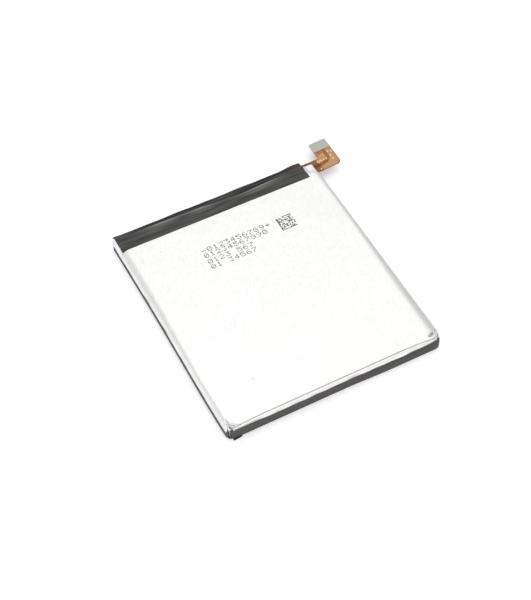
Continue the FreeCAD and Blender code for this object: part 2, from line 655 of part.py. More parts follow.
def flat_signal_contacts():
    """L-shaped contacts: a foot on the flexible circuit and a blade down the slot's wall."""
    x_mid, y_mid = connector_middle()
    slot_half = CONNECTOR_WIDTH / 2 - CONNECTOR_WALL
    contacts = []
    for i in range(CONTACT_COUNT):
        x0 = x_mid + (i - (CONTACT_COUNT - 1) / 2) * CONTACT_PITCH - CONTACT_WIDTH / 2
        for side in (-1, 1):
            foot = sorted((side * (slot_half - CONTACT_METAL), side * (CONNECTOR_WIDTH / 2 + CONTACT_FOOT)))
            blade = sorted((side * (slot_half - CONTACT_METAL), side * slot_half))
            contacts.append(fuse_all([
                box(x0, x0 + CONTACT_WIDTH, y_mid + foot[0], y_mid + foot[1],
                    FLEX_BOTTOM - CONTACT_METAL, FLEX_BOTTOM),
                box(x0, x0 + CONTACT_WIDTH, y_mid + blade[0], y_mid + blade[1],
                    FLEX_BOTTOM - CONNECTOR_HEIGHT + BLADE_SETBACK, FLEX_BOTTOM),
            ]))
    return contacts


def flat_power_contacts():
    """A clip over each short end of the housing."""
    x_mid, y_mid = connector_middle()
    clips = []
    for side in (-1, 1):
        end = CONNECTOR_LENGTH / 2
        upright = sorted((side * (end - POWER_METAL), side * end))
        cap = sorted((side * (end - POWER_CLIP), side * end))
        foot = sorted((side * (end - POWER_METAL), side * (end + POWER_FOOT)))
        bottom = FLEX_BOTTOM - CONNECTOR_HEIGHT
        y0, y1 = y_mid - POWER_WIDTH / 2, y_mid + POWER_WIDTH / 2
        clips.append(fuse_all([
            box(x_mid + upright[0], x_mid + upright[1], y0, y1, bottom, FLEX_BOTTOM),
            box(x_mid + cap[0], x_mid + cap[1], y0, y1, bottom, bottom + POWER_METAL),
            box(x_mid + foot[0], x_mid + foot[1], y0, y1, FLEX_BOTTOM - POWER_METAL, FLEX_BOTTOM),
        ]))
    return clips


def connector_housing():
    x_mid, y_mid = connector_middle()
    half_x, half_y = CONNECTOR_LENGTH / 2, CONNECTOR_WIDTH / 2
    bottom = FLEX_BOTTOM - CONNECTOR_HEIGHT
    body = box(x_mid - half_x, x_mid + half_x, y_mid - half_y, y_mid + half_y, bottom, FLEX_BOTTOM)
    body = round_upright_edges(body, HOUSING_CORNER, lambda x, y: True)
    slot = box(x_mid - half_x + CONNECTOR_WALL, x_mid + half_x - CONNECTOR_WALL,
               y_mid - half_y + CONNECTOR_WALL, y_mid + half_y - CONNECTOR_WALL,
               bottom - 1, FLEX_BOTTOM - CONNECTOR_FLOOR)
    body = body.cut(slot)
    return raised(body.cut(group(flat_signal_contacts() + flat_power_contacts())))


def connector_signal_contacts():
    return group([raised(contact) for contact in flat_signal_contacts()])


def connector_power_contacts():
    return group([raised(clip) for clip in flat_power_contacts()])


# ---- export -------------------------------------------------------------------------
NODES = {
    "pouch_cup": pouch_cup,
    "pouch_lid": pouch_lid,
    "anode_sheets": anode_sheets,
    "cathode_sheets": cathode_sheets,
    "separator_ribbon": separator_ribbon,
    "stack_tapes": stack_tapes,
    "anode_foil_bundle": lambda: foil_bundle(-TAB_X),
    "cathode_foil_bundle": lambda: foil_bundle(TAB_X),
    "negative_tab": lambda: tab_solid(-TAB_X),
    "positive_tab": lambda: tab_solid(TAB_X),
    "negative_tab_sealant": lambda: tab_sealant(-TAB_X),
    "positive_tab_sealant": lambda: tab_sealant(TAB_X),
    "protection_board": protection_board,
    "weld_pads": weld_pads,
    "terrace_foam": terrace_foam,
    "thermal_cutoff": thermal_cutoff,
    "protection_ic": lambda: chip(*PROTECTION_IC),
    "dual_mosfet": lambda: chip(*DUAL_MOSFET),
    "sense_resistor": lambda: chip(*SENSE_RESISTOR),
    "thermistor": lambda: chip(*THERMISTOR),
    "chip_capacitors": lambda: chips(CAPACITOR_PLACES, CAPACITOR_SIZE),
    "chip_resistors": lambda: chips(RESISTOR_PLACES, RESISTOR_SIZE),
    "board_insulator": board_insulator,
    "top_tape": top_tape,
    "label_wrap": label_wrap,
    "flex_root": flex_root,
    "solder_joints": solder_joints,
    "flex_arm": flex_arm,
    "flex_test_pads": flex_test_pads,
    "flex_tail": flex_tail,
    "stiffener_adhesive": stiffener_adhesive,
    "stiffener_plate": stiffener_plate,
    "connector_housing": connector_housing,
    "connector_signal_contacts": connector_signal_contacts,
    "connector_power_contacts": connector_power_contacts,
}

os.makedirs("parts", exist_ok=True)
for name, make in NODES.items():
    shape = make()
    if not shape.isValid() or not shape.Solids:
        raise RuntimeError(name + " is not a valid solid")
    shape.exportStep("parts/" + name + ".step")
    print(name, len(shape.Solids), round(shape.Volume, 3))
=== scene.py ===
"""Surfaces and finishes of a pouch battery cell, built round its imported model, in metres."""
import math

import bpy
import numpy as np
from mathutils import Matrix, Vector


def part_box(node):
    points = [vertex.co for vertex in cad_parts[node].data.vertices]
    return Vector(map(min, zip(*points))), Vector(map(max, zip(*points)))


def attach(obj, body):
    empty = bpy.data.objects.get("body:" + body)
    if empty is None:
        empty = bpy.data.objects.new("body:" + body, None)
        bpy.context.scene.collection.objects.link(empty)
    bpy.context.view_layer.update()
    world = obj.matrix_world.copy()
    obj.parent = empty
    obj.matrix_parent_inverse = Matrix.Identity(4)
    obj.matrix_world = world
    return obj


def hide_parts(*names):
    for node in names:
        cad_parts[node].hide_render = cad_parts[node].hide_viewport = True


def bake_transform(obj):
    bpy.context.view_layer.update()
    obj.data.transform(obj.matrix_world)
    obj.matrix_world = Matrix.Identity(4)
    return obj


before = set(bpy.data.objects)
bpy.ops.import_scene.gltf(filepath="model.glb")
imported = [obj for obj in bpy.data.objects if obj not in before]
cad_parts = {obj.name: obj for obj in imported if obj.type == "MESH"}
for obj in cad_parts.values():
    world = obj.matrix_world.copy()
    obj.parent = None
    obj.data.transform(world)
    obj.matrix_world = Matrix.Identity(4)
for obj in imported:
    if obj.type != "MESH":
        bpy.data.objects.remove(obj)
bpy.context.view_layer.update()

bl_info = {
    "name": "Pouch battery cell",
    "version": (1, 0, 0),
    "blender": (4, 5, 0),
    "location": "3D View > Sidebar > Cell",
    "description": "Films, tape, flexible circuit, print and finishes of a pouch battery cell",
    "category": "Object",
}

MM = 0.001


def extent(node):
    """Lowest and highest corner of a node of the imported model, in millimetres."""
    low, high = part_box(node)
    return np.array(low) / MM, np.array(high) / MM


LID_LOW, LID_HIGH = extent("pouch_lid")
CUP_BASE = extent("pouch_cup")[0][2]
TAPE_LOW, TAPE_HIGH = extent("top_tape")
LABEL_LOW, LABEL_HIGH = extent("label_wrap")
ROOT_LOW, ROOT_HIGH = extent("flex_root")

END_WALL = 32.0              # millimetres, the cup's wall under the terrace
LID_TOP = LID_HIGH[2]
LID_HALF = LID_HIGH[0]
LID_NEAR = LID_LOW[1]
TERRACE_END = LID_HIGH[1]
TERRACE_HALF = 29.5
SEAL_END = TERRACE_END + 1.1  # the left side seal runs on under the tape's end
SEAL_FOOT = 1.30             # lower edge of the folded side seals
FILM_STEP = 0.26             # from the lid's face down to the cup's flange
BODY_CORNER = 2.1            # upright corners of the folded pouch
LABEL_CORNER = 1.9           # and of the label round it
FLEX_MIDDLE = (ROOT_LOW[2] + ROOT_HIGH[2]) / 2
FLEX_HALF_THICK = (ROOT_HIGH[2] - ROOT_LOW[2]) / 2
LEG_LEFT, LEG_RIGHT, LEG_END = 32.8, 37.9, 42.1    # the circuit's leg, before it is turned up
ROOT_BEND_X = 30.8           # where the circuit turns up, by RISE degrees
RISE = 4.0


# ---- colours and small formulas -----------------------------------------------------
def linear(hex_colour):
    """An sRGB hex value as linear red, green, blue and alpha."""
    parts = [int(hex_colour[i:i + 2], 16) / 255 for i in (1, 3, 5)]
    turned = [c / 12.92 if c <= 0.04045 else ((c + 0.055) / 1.055) ** 2.4 for c in parts]
    return (*turned, 1.0)


def ease(t):
    """0 below 0, 1 above 1, and 3t^2 - 2t^3 between."""
    t = np.clip(t, 0.0, 1.0)
    return t * t * (3 - 2 * t)


def hump(distance, width):
    """exp(-(distance / width)^2)."""
    return np.exp(-(distance / width) ** 2)


def ripples(x, y, seed, length, count=7):
    """Sum of sine waves in seeded directions, with wavelengths of 0.6 to 1.6 times length,
    about -1 to 1."""
    rng = np.random.default_rng(seed)
    total = np.zeros(np.broadcast(x, y).shape)
    for angle, size, phase in rng.random((count, 3)):
        turn = 2 * math.pi * angle
        k = 2 * math.pi / (length * (0.6 + size))
        total = total + np.sin(k * (x * math.cos(turn) + y * math.sin(turn)) + 2 * math.pi * phase)
    return total / math.sqrt(count)


def along_line(points, x, y):
    """Distance of each (x, y) from a line of points, and the length along the line to the nearest place."""
    nearest = np.full(np.shape(x), 1e9)
    place = np.zeros(np.shape(x))
    walked = 0.0
    for (ax, ay), (bx, by) in zip(points[:-1], points[1:]):
        size = math.hypot(bx - ax, by - ay)
        share = np.clip(((x - ax) * (bx - ax) + (y - ay) * (by - ay)) / size ** 2, 0, 1)
        gap = np.hypot(x - ax - share * (bx - ax), y - ay - share * (by - ay))
        place = np.where(gap < nearest, walked + share * size, place)
        nearest = np.minimum(gap, nearest)
        walked += size
    return nearest, place


def lengths_along(points):
    """The length walked from the first point of a line to each of its points."""
    return np.concatenate([[0], np.cumsum(np.linalg.norm(np.diff(points, axis=0), axis=1))])


def resampled(points, count):
    """A plane line again, as a number of points in even steps."""
    size = lengths_along(points)
    even = np.linspace(0, size[-1], count)
    return np.stack([np.interp(even, size, points[:, i]) for i in (0, 1)], -1)


def arc(x, y, radius, angles):
    """Points round (x, y) at angles in degrees."""
    turn = np.radians(angles)
    return np.stack([x + radius * np.cos(turn), y + radius * np.sin(turn)], -1)


def lines_between(low, high, margins, fine, coarse):
    """Grid lines from low to high: fine steps inside each margin, coarse steps between them."""
    first, last = low + margins[0], high - margins[1]
    head = np.linspace(low, first, max(2, round(margins[0] / fine) + 1))
    body = np.linspace(first, last, round((last - first) / coarse) + 1)
    tail = np.linspace(last, high, max(2, round(margins[1] / fine) + 1))
    return np.unique(np.round(np.concatenate([head, body, tail]), 6))


# ---- meshes -------------------------------------------------------------------------
def make_piece(name, points, faces, sharp=35.0):
    """An object at the origin from points in millimetres and faces; edges over the sharp
    angle stay crisp."""
    mesh = bpy.data.meshes.new(name)
    mesh.from_pydata((np.asarray(points) * MM).tolist(), [], [list(map(int, f)) for f in faces])
    mesh.shade_smooth()
    mesh.set_sharp_from_angle(angle=math.radians(sharp))
    piece = bpy.data.objects.new(name, mesh)
    bpy.context.scene.collection.objects.link(piece)
    return piece


def grid_faces(rows, columns, wrap=False):
    """Quads of a grid of points stored row by row; wrap joins the last column to the first."""
    i = np.arange(rows - 1)[:, None]
    j = np.arange(columns if wrap else columns - 1)[None, :]
    after = (j + 1) % columns
    quads = [i * columns + j, i * columns + after, (i + 1) * columns + after, (i + 1) * columns + j]
    return np.stack([np.broadcast_to(q, (rows - 1, j.size)) for q in quads], -1).reshape(-1, 4)


def give_wall(piece, thickness):
    """Thickness behind the outer face of a film."""
    wall = piece.modifiers.new("wall", "SOLIDIFY")
    wall.thickness = thickness * MM
    wall.offset = -1.0


def give_value(piece, name, values):
    """A number on every point, for the material to read."""
    attribute = piece.data.attributes.new(name, "FLOAT", "POINT")
    attribute.data.foreach_set("value", np.asarray(values, np.float32).ravel())


def finish_piece(piece, material, body, replaced=()):
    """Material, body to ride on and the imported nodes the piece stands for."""
    piece.data.materials.append(material)
    if body:
        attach(piece, body)
    if replaced:
        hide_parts(*replaced)


def pan_plan(across, along, half_at, near_radius, far_radius):
    """Plan of a pan with round corners, with the outward direction at its rim.

    Lines across run from -1 to 1 and are stretched to half_at(y, side) millimetres.  In each
    corner square of side R, (p, q) in 0..1 goes to (p sqrt(1 - q^2/2), q sqrt(1 - p^2/2)),
    which bends the square's outer edges onto a quarter circle.
    """
    y = np.repeat(along[:, None], len(across), 1)
    side = np.sign(across)[None, :] + 0 * y
    half = half_at(y, side)
    x = across[None, :] * half
    out_x, out_y = np.zeros_like(x), np.zeros_like(x)
    new_x, new_y = x.copy(), y.copy()
    for radius, end, towards in ((near_radius, along[0], -1), (far_radius, along[-1], 1)):
        if radius <= 0:
            continue
        p = np.clip((np.abs(x) - (half - radius)) / radius, 0, 1)
        q = np.clip((towards * (y - end) + radius) / radius, 0, 1)
        round_p, round_q = p * np.sqrt(1 - q * q / 2), q * np.sqrt(1 - p * p / 2)
        inside = q > 0
        new_x = np.where(inside, side * (np.abs(x) + radius * (round_p - p)), new_x)
        new_y = np.where(inside, y + towards * radius * (round_q - q), new_y)
        out_x = np.where(inside, side * round_p, out_x)
        out_y = np.where(inside, towards * round_q, out_y)
    at_side = (np.abs(across)[None, :] > 1 - 1e-9) & (out_x == 0) & (out_y == 0)
    out_x = np.where(at_side, side, out_x)
    size = np.maximum(np.hypot(out_x, out_y), 1e-9)
    return new_x, new_y, out_x / size, out_y / size


def rim_of(rows, columns, closed):
    """Point numbers round a grid's rim: left side towards -Y, near side, right side, then
    the far side if closed."""
    left = np.arange(rows - 1, 0, -1) * columns
    near = np.arange(columns - 1)
    right = np.arange(rows) * columns + columns - 1
    far = (rows - 1) * columns + np.arange(columns - 2, 0, -1)
    return np.concatenate([left, near, right, far] if closed else [left, near, right])


def pan_piece(name, flat, rim, skirt, closed, upside_down, keep=None, top_rows=None):
    """A flat or shaped top grid whose rim carries a skirt of rows going away from it.  keep
    leaves out part of the skirt, and top_rows the far rows of the grid."""
    rows, columns = flat.shape[:2]
    count = rows * columns
    steps, loop = skirt.shape[:2]
    top = grid_faces(top_rows or rows, columns)
    ring = np.vstack([rim[None, :], count + np.arange(steps * loop).reshape(steps, loop)])
    k = np.arange(loop if closed else loop - 1)
    after = (k + 1) % loop
    side = np.stack([ring[:-1][:, k], ring[1:][:, k], ring[1:][:, after], ring[:-1][:, after]], -1)
    if keep is not None:
        side = side[keep[:, k] & keep[:, after]]
    faces = np.vstack([top, side.reshape(-1, 4)])
    if upside_down:
        faces = faces[:, ::-1]
    points = leaning(np.vstack([flat.reshape(-1, 3), skirt.reshape(-1, 3)]))
    return make_piece(name, points, faces, 50.0)


def pan_rim(across, along, half_at, near_radius, far_radius, closed):
    """A pan's plan, its rim's point numbers, and the rim's places and outward directions."""
    plan = pan_plan(across, along, half_at, near_radius, far_radius)
    rim = rim_of(*plan[0].shape, closed)
    return (plan[0], plan[1], rim, *(v.ravel()[rim] for v in plan))


def base_arc(px, py, nx, ny, base, floor, rows):
    """Rows of points up the edge between the underside and a wall: out by base sin^(2/n)
    and up by base (1 - cos^(2/n)) of the turn, with n 4 at the near-left corner, 5 further
    right and 9 up the left side, where the film is creased sharply."""
    turn = np.radians(np.linspace(0, 90, rows + 1)[1:])[:, None]
    n = 4 + ease((px + 26) / 24) + 5 * ease((py + 30) / 5) * (px < 0)
    out = base * np.sin(turn) ** (2 / n)
    up = base * (1 - np.maximum(np.cos(turn), 0) ** (2 / n))
    return np.stack([px + nx * out, py + ny * out, floor + up], -1)


# ---- shape of the lid, which the tape and the print follow ---------------------------
def half_width(y, side):
    """The pouch's half width: LID_HALF on the left all the way; on the right it narrows to the terrace."""
    return LID_HALF - (LID_HALF - TERRACE_HALF) * ease((y - 29.9) / 1.9) * (side > 0)


def leaning(points):
    """The left side stands out towards its near corner by 0.5 ease((16 - y) / 40) mm, fading
    to nothing 5 mm in, and the lower half of the near side by 0.35 mm towards the right."""
    points = np.array(points, float)
    share = ease((16 - points[..., 1]) / 40) * ease((-24.5 - points[..., 0]) / 4.5)
    points[..., 0] -= 0.5 * share
    low = ease((3.4 - points[..., 2]) / 1.5)
    points[..., 1] -= 0.35 * ease((points[..., 0] - 2) / 14) * ease((-29.5 - points[..., 1]) / 2.2) * low
    return points


NEAR_LEFT_FOLDS = (
    # ax, ay, bx, by, width, height: pinched film at the near-left corner, and a long light scratch
    (-26.1, 26.1, -26.3, 23.9, 0.10, -0.03),
    (-29.4, -30.1, -28.1, -31.2, 0.15, -0.14),
    (-29.2, -29.9, -27.9, -30.9, 0.16, 0.16),
    (-29.1, -30.9, -28.9, -31.9, 0.15, -0.55),
    (-28.6, -30.6, -28.3, -31.7, 0.14, 0.16),
    (-29.3, -30.6, -29.7, -29.0, 0.16, 0.22),
    (-29.0, -30.0, -28.9, -28.6, 0.14, -0.10),
    (-28.9, -29.6, -29.3, -28.9, 0.16, -0.05),
    (-28.2, -31.0, -26.6, -31.55, 0.16, -0.12),
)
NEAR_RIGHT_FOLDS = (
    (27.0, -30.7, 28.2, -30.2, 0.38, -0.20),
    (28.2, -30.9, 29.5, -30.3, 0.18, 0.22),
    (28.6, -31.5, 29.3, -31.0, 0.14, -0.30),
    (29.4, -30.4, 29.6, -31.3, 0.14, 0.20),
    (28.9, -29.9, 29.3, -29.2, 0.16, -0.16),
)


CORNER_PLEATS = (
    # place in degrees round from the left side to the right one, width, outwards in mm
    (46, 4, 0.13), (60, 5, -0.30), (74, 5, 0.12), (28, 6, -0.16), (125, 7, -0.16), (108, 6, 0.10),
)


def groove_line(x):
    """Y of the groove along the near edge, bowed outwards at both ends."""
    return -31.40 - 0.46 * np.clip((np.abs(x + 1) - 19) / 10, 0, 1) ** 1.6


def crease_shade(x, y):
    """How much painted shade a place gets, 0 to 1: the groove and every fold that goes down."""
    shade = 0.75 * hump(y - groove_line(x), 0.12) * (np.abs(x) < 28.6)
    for ax, ay, bx, by, wide, high in NEAR_LEFT_FOLDS + NEAR_RIGHT_FOLDS:
        if high < 0:
            gap, _ = along_line([(ax, ay), (bx, by)], x, y)
            shade = shade + min(1.0, -3.5 * high) * hump(gap, wide)
    return np.clip(shade, 0, 1)


def lid_height(x, y):
    """Height of the lid's face, in millimetres.

    The film lies flat on the stack at LID_TOP.  Beside the stack it is drawn down by
    drop (1 - d / width)^2.35, where d is the distance from the fold.  Towards the near end
    the left shoulder narrows and flattens, and the right one widens and deepens.  The near
    edge has a narrow groove along groove_line, both ends of the terrace step down, the
    corners have creases along short lines, and slow ripples run over everything.
    """
    towards_near = ease(np.where(x < 0, (26 - y) / 44, (20 - y) / 50))
    on_body = 1 - 0.85 * ease((y - 30.2) / 2.2)
    from_fold = half_width(y, x) - np.abs(x)
    width = np.where(x < 0, 2.35 - 1.05 * towards_near, 1.6 + 1.7 * towards_near)
    drop = np.where(x < 0, 1.35 - 0.55 * towards_near, 0.42 + 0.55 * towards_near)
    z = LID_TOP - on_body * drop * np.clip(1 - from_fold / width, 0, 1) ** 2.35
    bow = groove_line(x)
    z = z - 0.15 * hump(y - bow, 0.11) + 0.02 * hump(y - bow - 0.35, 0.25)
    ends = np.clip(np.where(x < 0, (-27.3 - x) / 1.6, (x - 26.5) / 1.2), 0, 1)
    z = z - 0.26 * ease(ends) * ease((y - 30.8) / 1.9)
    for ax, ay, bx, by, wide, high in NEAR_LEFT_FOLDS + NEAR_RIGHT_FOLDS:
        gap, _ = along_line([(ax, ay), (bx, by)], x, y)
        z = z + high * hump(gap, wide)
    return z + 0.016 * ripples(x, y, 3, 14.0) + 0.004 * ripples(x, y, 4, 4.5)


# ---- materials ----------------------------------------------------------------------
def add(material, kind, settings=None, inputs=None):
    """Add a node, with its settings, and its inputs given as values or as sockets to link."""
    tree = material.node_tree
    node = tree.nodes.new("ShaderNode" + kind)
    for key, value in (settings or {}).items():
        setattr(node, key, value)
    for key, value in (inputs or {}).items():
        if isinstance(value, bpy.types.NodeSocket):
            tree.links.new(value, node.inputs[key])
        else:
            node.inputs[key].default_value = value
    return node


def new_material(name):
    """An empty material and its Object coordinates."""
    material = bpy.data.materials.new(name)
    material.use_nodes = True
    return material, add(material, "TexCoord").outputs["Object"]


def per_mm(size):
    """The texture scale, in repeats a metre, whose features are about size millimetres."""
    return 1.0 / (size * MM)


def noise(material, place, size, detail=2.0):
    """Noise whose features are about size millimetres."""
    inputs = {"Vector": place, "Scale": per_mm(size), "Detail": detail}
    return add(material, "TexNoise", None, inputs).outputs[0]


def drawn_out(material, place, scale):
    """Coordinates scaled along each axis; below 1 draws the grain out along that axis."""
    return add(material, "Mapping", None, {"Vector": place, "Scale": scale}).outputs[0]


def on_points(material, name):
    """A number that the piece carries on its points."""
    return add(material, "Attribute", {"attribute_name": name}).outputs["Fac"]


def mixed(material, share, low, high):
    """Colour between low and high by a share of 0 to 1."""
    return add(material, "Mix", {"data_type": "RGBA"}, {0: share, 6: low, 7: high}).outputs[2]


def spread(material, value, low, high, to_low=0.0, to_high=1.0):
    """A value stretched from low..high to to_low..to_high, and held there."""
    return add(material, "MapRange", None, {
        "Value": value, "From Min": low, "From Max": high, "To Min": to_low, "To Max": to_high,
    }).outputs["Result"]


def shade(material, constants, colour, gloss=None, relief=None, depth=0.0, strength=1.0):
    """Set the shader's constants and link its colour, its roughness and a relief, whose
    depth is in millimetres."""
    link = material.node_tree.links.new
    shader = material.node_tree.nodes["Principled BSDF"]
    for key, value in constants.items():
        shader.inputs[key].default_value = value
    link(colour, shader.inputs["Base Color"])
    if gloss:
        link(gloss, shader.inputs["Roughness"])
    if depth:
        bump = add(material, "Bump", None, {"Height": relief, "Distance": depth * MM, "Strength": strength})
        link(bump.outputs[0], shader.inputs["Normal"])
    return material


def grain_finish(name, low, high, grain, roughness, metallic=0.0, relief=0.0, stretch=(1, 1, 1), coat=0.0):
    """A finish whose colour, gloss and relief all follow one grain, drawn out along an axis
    if it was rolled or drawn."""
    material, place = new_material(name)
    fine = noise(material, drawn_out(material, place, stretch), grain, 4.0)
    colour = mixed(material, spread(material, fine, 0.32, 0.68), linear(low), linear(high))
    gloss = spread(material, fine, 0.2, 0.8, roughness * 0.85, roughness * 1.15)
    return shade(material, {"Metallic": metallic, "Coat Weight": coat}, colour, gloss, fine, relief)


def laminate_finish(colours):
    """Nylon-faced aluminium laminate: cold-rolled foil under a matt nylon skin, so it is silvery
    and almost white under soft light, with a faint rolled grain, a pebble of the pressed stack
    behind it, a few dark specks, and painted shade in the creases."""
    material, place = new_material("nylon_faced_aluminium_laminate")
    # foil grain 0.35 mm wide; the real one, near 0.1 mm, would vanish at this distance
    grain = noise(material, drawn_out(material, place, (1.0, 0.22, 1.0)), 0.35, 3.0)
    pebble = noise(material, place, 1.1)
    cloud = spread(material, noise(material, place, 16.0), 0.35, 0.65)
    base = mixed(material, cloud, colours.foil_cool, colours.foil_warm)
    fine = mixed(material, spread(material, grain, 0.3, 0.7, 0.0, 0.45), base, linear("#E4E5E1"))
    cells = add(material, "TexVoronoi", None, {"Vector": place, "Scale": per_mm(9.0)}).outputs["Distance"]
    spotted = mixed(material, spread(material, cells, 0.012, 0.022, 0.75, 0.0), fine, linear("#8C8B86"))
    # painted shade: grey mixed in by the points' crease value, in the groove, the downward folds, the
    # corner pleats and the side seal's end
    colour = mixed(material, on_points(material, "crease"), spotted, linear("#6F6E70"))
    gloss = spread(material, grain, 0.25, 0.75, 0.36, 0.50)
    height = add(material, "Math", {"operation": "ADD"}, {0: grain, 1: pebble}).outputs[0]
    return shade(material, {"Metallic": 0.62}, colour, gloss, height, 0.012, 0.6)


def tape_finish(colours):
    """Black polyester tape, calendered and rolled on by hand: a half-gloss dark grey with
    streaks along its length, a painted highlight along its creases, painted shade on its far
    face beyond the terrace's edge, and reddish patches where the circuit shows through."""
    material, place = new_material("black_polyester_tape")
    drawn = drawn_out(material, place, (0.07, 1.0, 1.0))
    streak = noise(material, drawn, 0.75, 4.0)
    patch = spread(material, noise(material, drawn, 1.7, 1.0), 0.4, 0.62)
    grey = mixed(material, spread(material, streak, 0.35, 0.7), colours.tape_dark, colours.tape_light)
    # painted highlight where pale is above 0.5, and painted shade where it is below 0.5
    pale = on_points(material, "pale")
    grey = mixed(material, spread(material, pale, 0.5, 1.0), grey, colours.tape_painted_highlight)
    grey = mixed(material, spread(material, pale, 0.5, 0.0), grey, colours.tape_painted_shade)
    shown = add(material, "Math", {"operation": "MULTIPLY"}, {0: on_points(material, "tint"), 1: patch})
    colour = mixed(material, shown.outputs[0], grey, linear("#4A3432"))
    gloss = spread(material, streak, 0.3, 0.7, 0.52, 0.36)
    return shade(material, {"IOR": 1.50, "Specular IOR Level": 0.30}, colour, gloss, streak, 0.03, 0.7)


def label_finish(colours):
    """Black PET label film with an embossed matt face: dark warm grey, with a fine pebble
    and rubbed edges a little lighter."""
    material, place = new_material("matt_black_PET_label_film")
    fine = noise(material, place, 0.30, 4.0)
    cloud = spread(material, noise(material, place, 5.0, 3.0), 0.35, 0.65)
    grey = mixed(material, cloud, colours.label_dark, colours.label_light)
    colour = mixed(material, on_points(material, "rubbed"), grey, linear("#5F5A58"))
    gloss = spread(material, fine, 0.3, 0.7, 0.48, 0.62)
    return shade(material, {"IOR": 1.57}, colour, gloss, fine, 0.015, 0.6)


def coverlay_finish(colours):
    """Polyimide coverlay over etched copper: clear amber film, orange-brown over bare
    board, red-brown where copper lies close under it and, as painted shade, over the
    root beside the cell, with a soft satin gloss."""
    material, place = new_material("amber_polyimide_coverlay")
    weave = noise(material, place, 0.30, 3.0)
    share = spread(material, weave, 0.3, 0.7)
    amber = mixed(material, share, colours.amber, linear("#CA9B6F"))
    brown = mixed(material, share, colours.copper_brown, linear("#7C421D"))
    # painted shade: the root beside the cell darker, mixed in with the copper
    colour = mixed(material, on_points(material, "copper"), amber, brown)
    gloss = spread(material, weave, 0.3, 0.7, 0.46, 0.58)
    return shade(material, {"IOR": 1.50, "Specular IOR Level": 0.30}, colour, gloss, weave, 0.01, 0.5)


def print_finish():
    """Continuous ink-jet ink: each drop dries matt grey, a little uneven."""
    return grain_finish("ink_jet_ink", "#161616", "#2E2E2D", 0.12, 0.6)


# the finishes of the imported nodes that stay: nodes, colours, grain in mm, roughness, and where
# they differ from none, metallic, relief in mm, stretch and coat
NODE_FINISHES = {
    # rolled stainless strip, tumbled matt: even warm grey with a faint speckle
    "tumbled_stainless_steel": (("stiffener_plate",), "#AAA8A0", "#BEBCB3", 0.28, 0.50, 0.55, 0.006),
    # acrylic bonding film: a thin amber line at the plate's edge
    "acrylic_bonding_film": (("stiffener_adhesive",), "#8A6A45", "#A2825A", 0.3, 0.55),
    # liquid crystal polymer, injection moulded: black, satin, with flow marks along the housing
    "moulded_LCP": (("connector_housing",), "#1B1B1C", "#2A2A2B", 0.22, 0.46, 0, 0.004, (0.4, 1, 1)),
    # copper alloy, stamped and gold plated: bright, with rolling lines
    "gold_plated_copper_alloy": (
        ("connector_signal_contacts", "connector_power_contacts"),
        "#D9AE57", "#F0CB78", 0.10, 0.26, 1.0, 0.002, (0.3, 1, 1)),
    # immersion gold on copper pads: pale pinkish gold
    "immersion_gold": (("flex_test_pads",), "#DDB69A", "#EBCDB5", 0.16, 0.38, 0.45, 0.003),
    # tin-silver solder, reflowed: bright grey, slightly rippled
    "reflowed_tin_solder": (("solder_joints",), "#B9BBBD", "#D6D8DA", 0.15, 0.30, 1.0, 0.008),
    # glass-fibre board under green solder mask: the weave shows as a faint cross grain
    "FR4_under_solder_mask": (
        ("protection_board",), "#1D4A2C", "#2B6A3F", 0.45, 0.34, 0, 0.008, (1, 1, 1), 0.2),
    # rolled nickel: warm grey metal with rolling lines
    "rolled_nickel": (
        ("negative_tab", "weld_pads", "thermal_cutoff"),
        "#A9A59C", "#C9C5BC", 0.2, 0.34, 1.0, 0.004, (0.2, 1, 1)),
    # rolled aluminium strip, and rolled copper foil: the same lines along the strip
    "rolled_aluminium": (
        ("positive_tab", "cathode_foil_bundle"), "#C9CBCD", "#E2E4E6", 0.2, 0.36, 1.0, 0.004, (1, 0.2, 1)),
    "rolled_copper_foil": (
        ("anode_foil_bundle",), "#B4674A", "#CF8362", 0.2, 0.36, 1.0, 0.004, (1, 0.2, 1)),
    # cast polypropylene sealing strip: milky
    "cast_polypropylene": (
        ("negative_tab_sealant", "positive_tab_sealant"), "#D8D6C8", "#E9E7DA", 0.5, 0.45, 0, 0.004),
    # closed-cell acrylic foam: dark, open-looking cells
    "acrylic_foam": (("terrace_foam",), "#2B2B2A", "#40403E", 0.18, 0.85, 0, 0.03),
    # transfer-moulded epoxy: black, finely pitted
    "moulded_epoxy": (("protection_ic", "dual_mosfet"), "#1A1A1C", "#29292B", 0.12, 0.55, 0, 0.004),
    # glazed alumina chips, black, and barium titanate ones, tan
    "sintered_ferrite_black": (
        ("chip_resistors", "thermistor", "sense_resistor"), "#202226", "#363A40", 0.15, 0.5, 0, 0.004),
    "sintered_barium_titanate": (("chip_capacitors",), "#8A6A4A", "#A88764", 0.15, 0.42, 0, 0.004),
    # clear amber polyimide sheet
    "polyimide_sheet": (("board_insulator",), "#B47A2C", "#CB9446", 0.6, 0.35, 0, 0.004),
    # graphite and oxide slurries, slot-die coated and pressed
    "calendered_graphite": (("anode_sheets",), "#1E1E20", "#2E2E31", 0.3, 0.6, 0, 0.006, (1, 0.3, 1)),
    "calendered_oxide": (("cathode_sheets",), "#17171B", "#25252A", 0.3, 0.66, 0, 0.006, (1, 0.3, 1)),
    # stretched porous polyethylene: white and silky; and the clear tape that holds it
    "porous_polyethylene": (
        ("separator_ribbon",), "#E9E9E6", "#F6F6F4", 0.4, 0.55, 0, 0.004, (1, 0.3, 1)),
    "clear_polyester_tape": (("stack_tapes",), "#C9D7DC", "#DBE6EA", 0.6, 0.22, 0, 0.003),
}


# ---- settings -----------------------------------------------------------------------
def length(name, description, default):
    """A length property, kept in metres and given here in millimetres."""
    return bpy.props.FloatProperty(
        name=name, description=description, default=float(default) * MM, unit="LENGTH", precision=5)


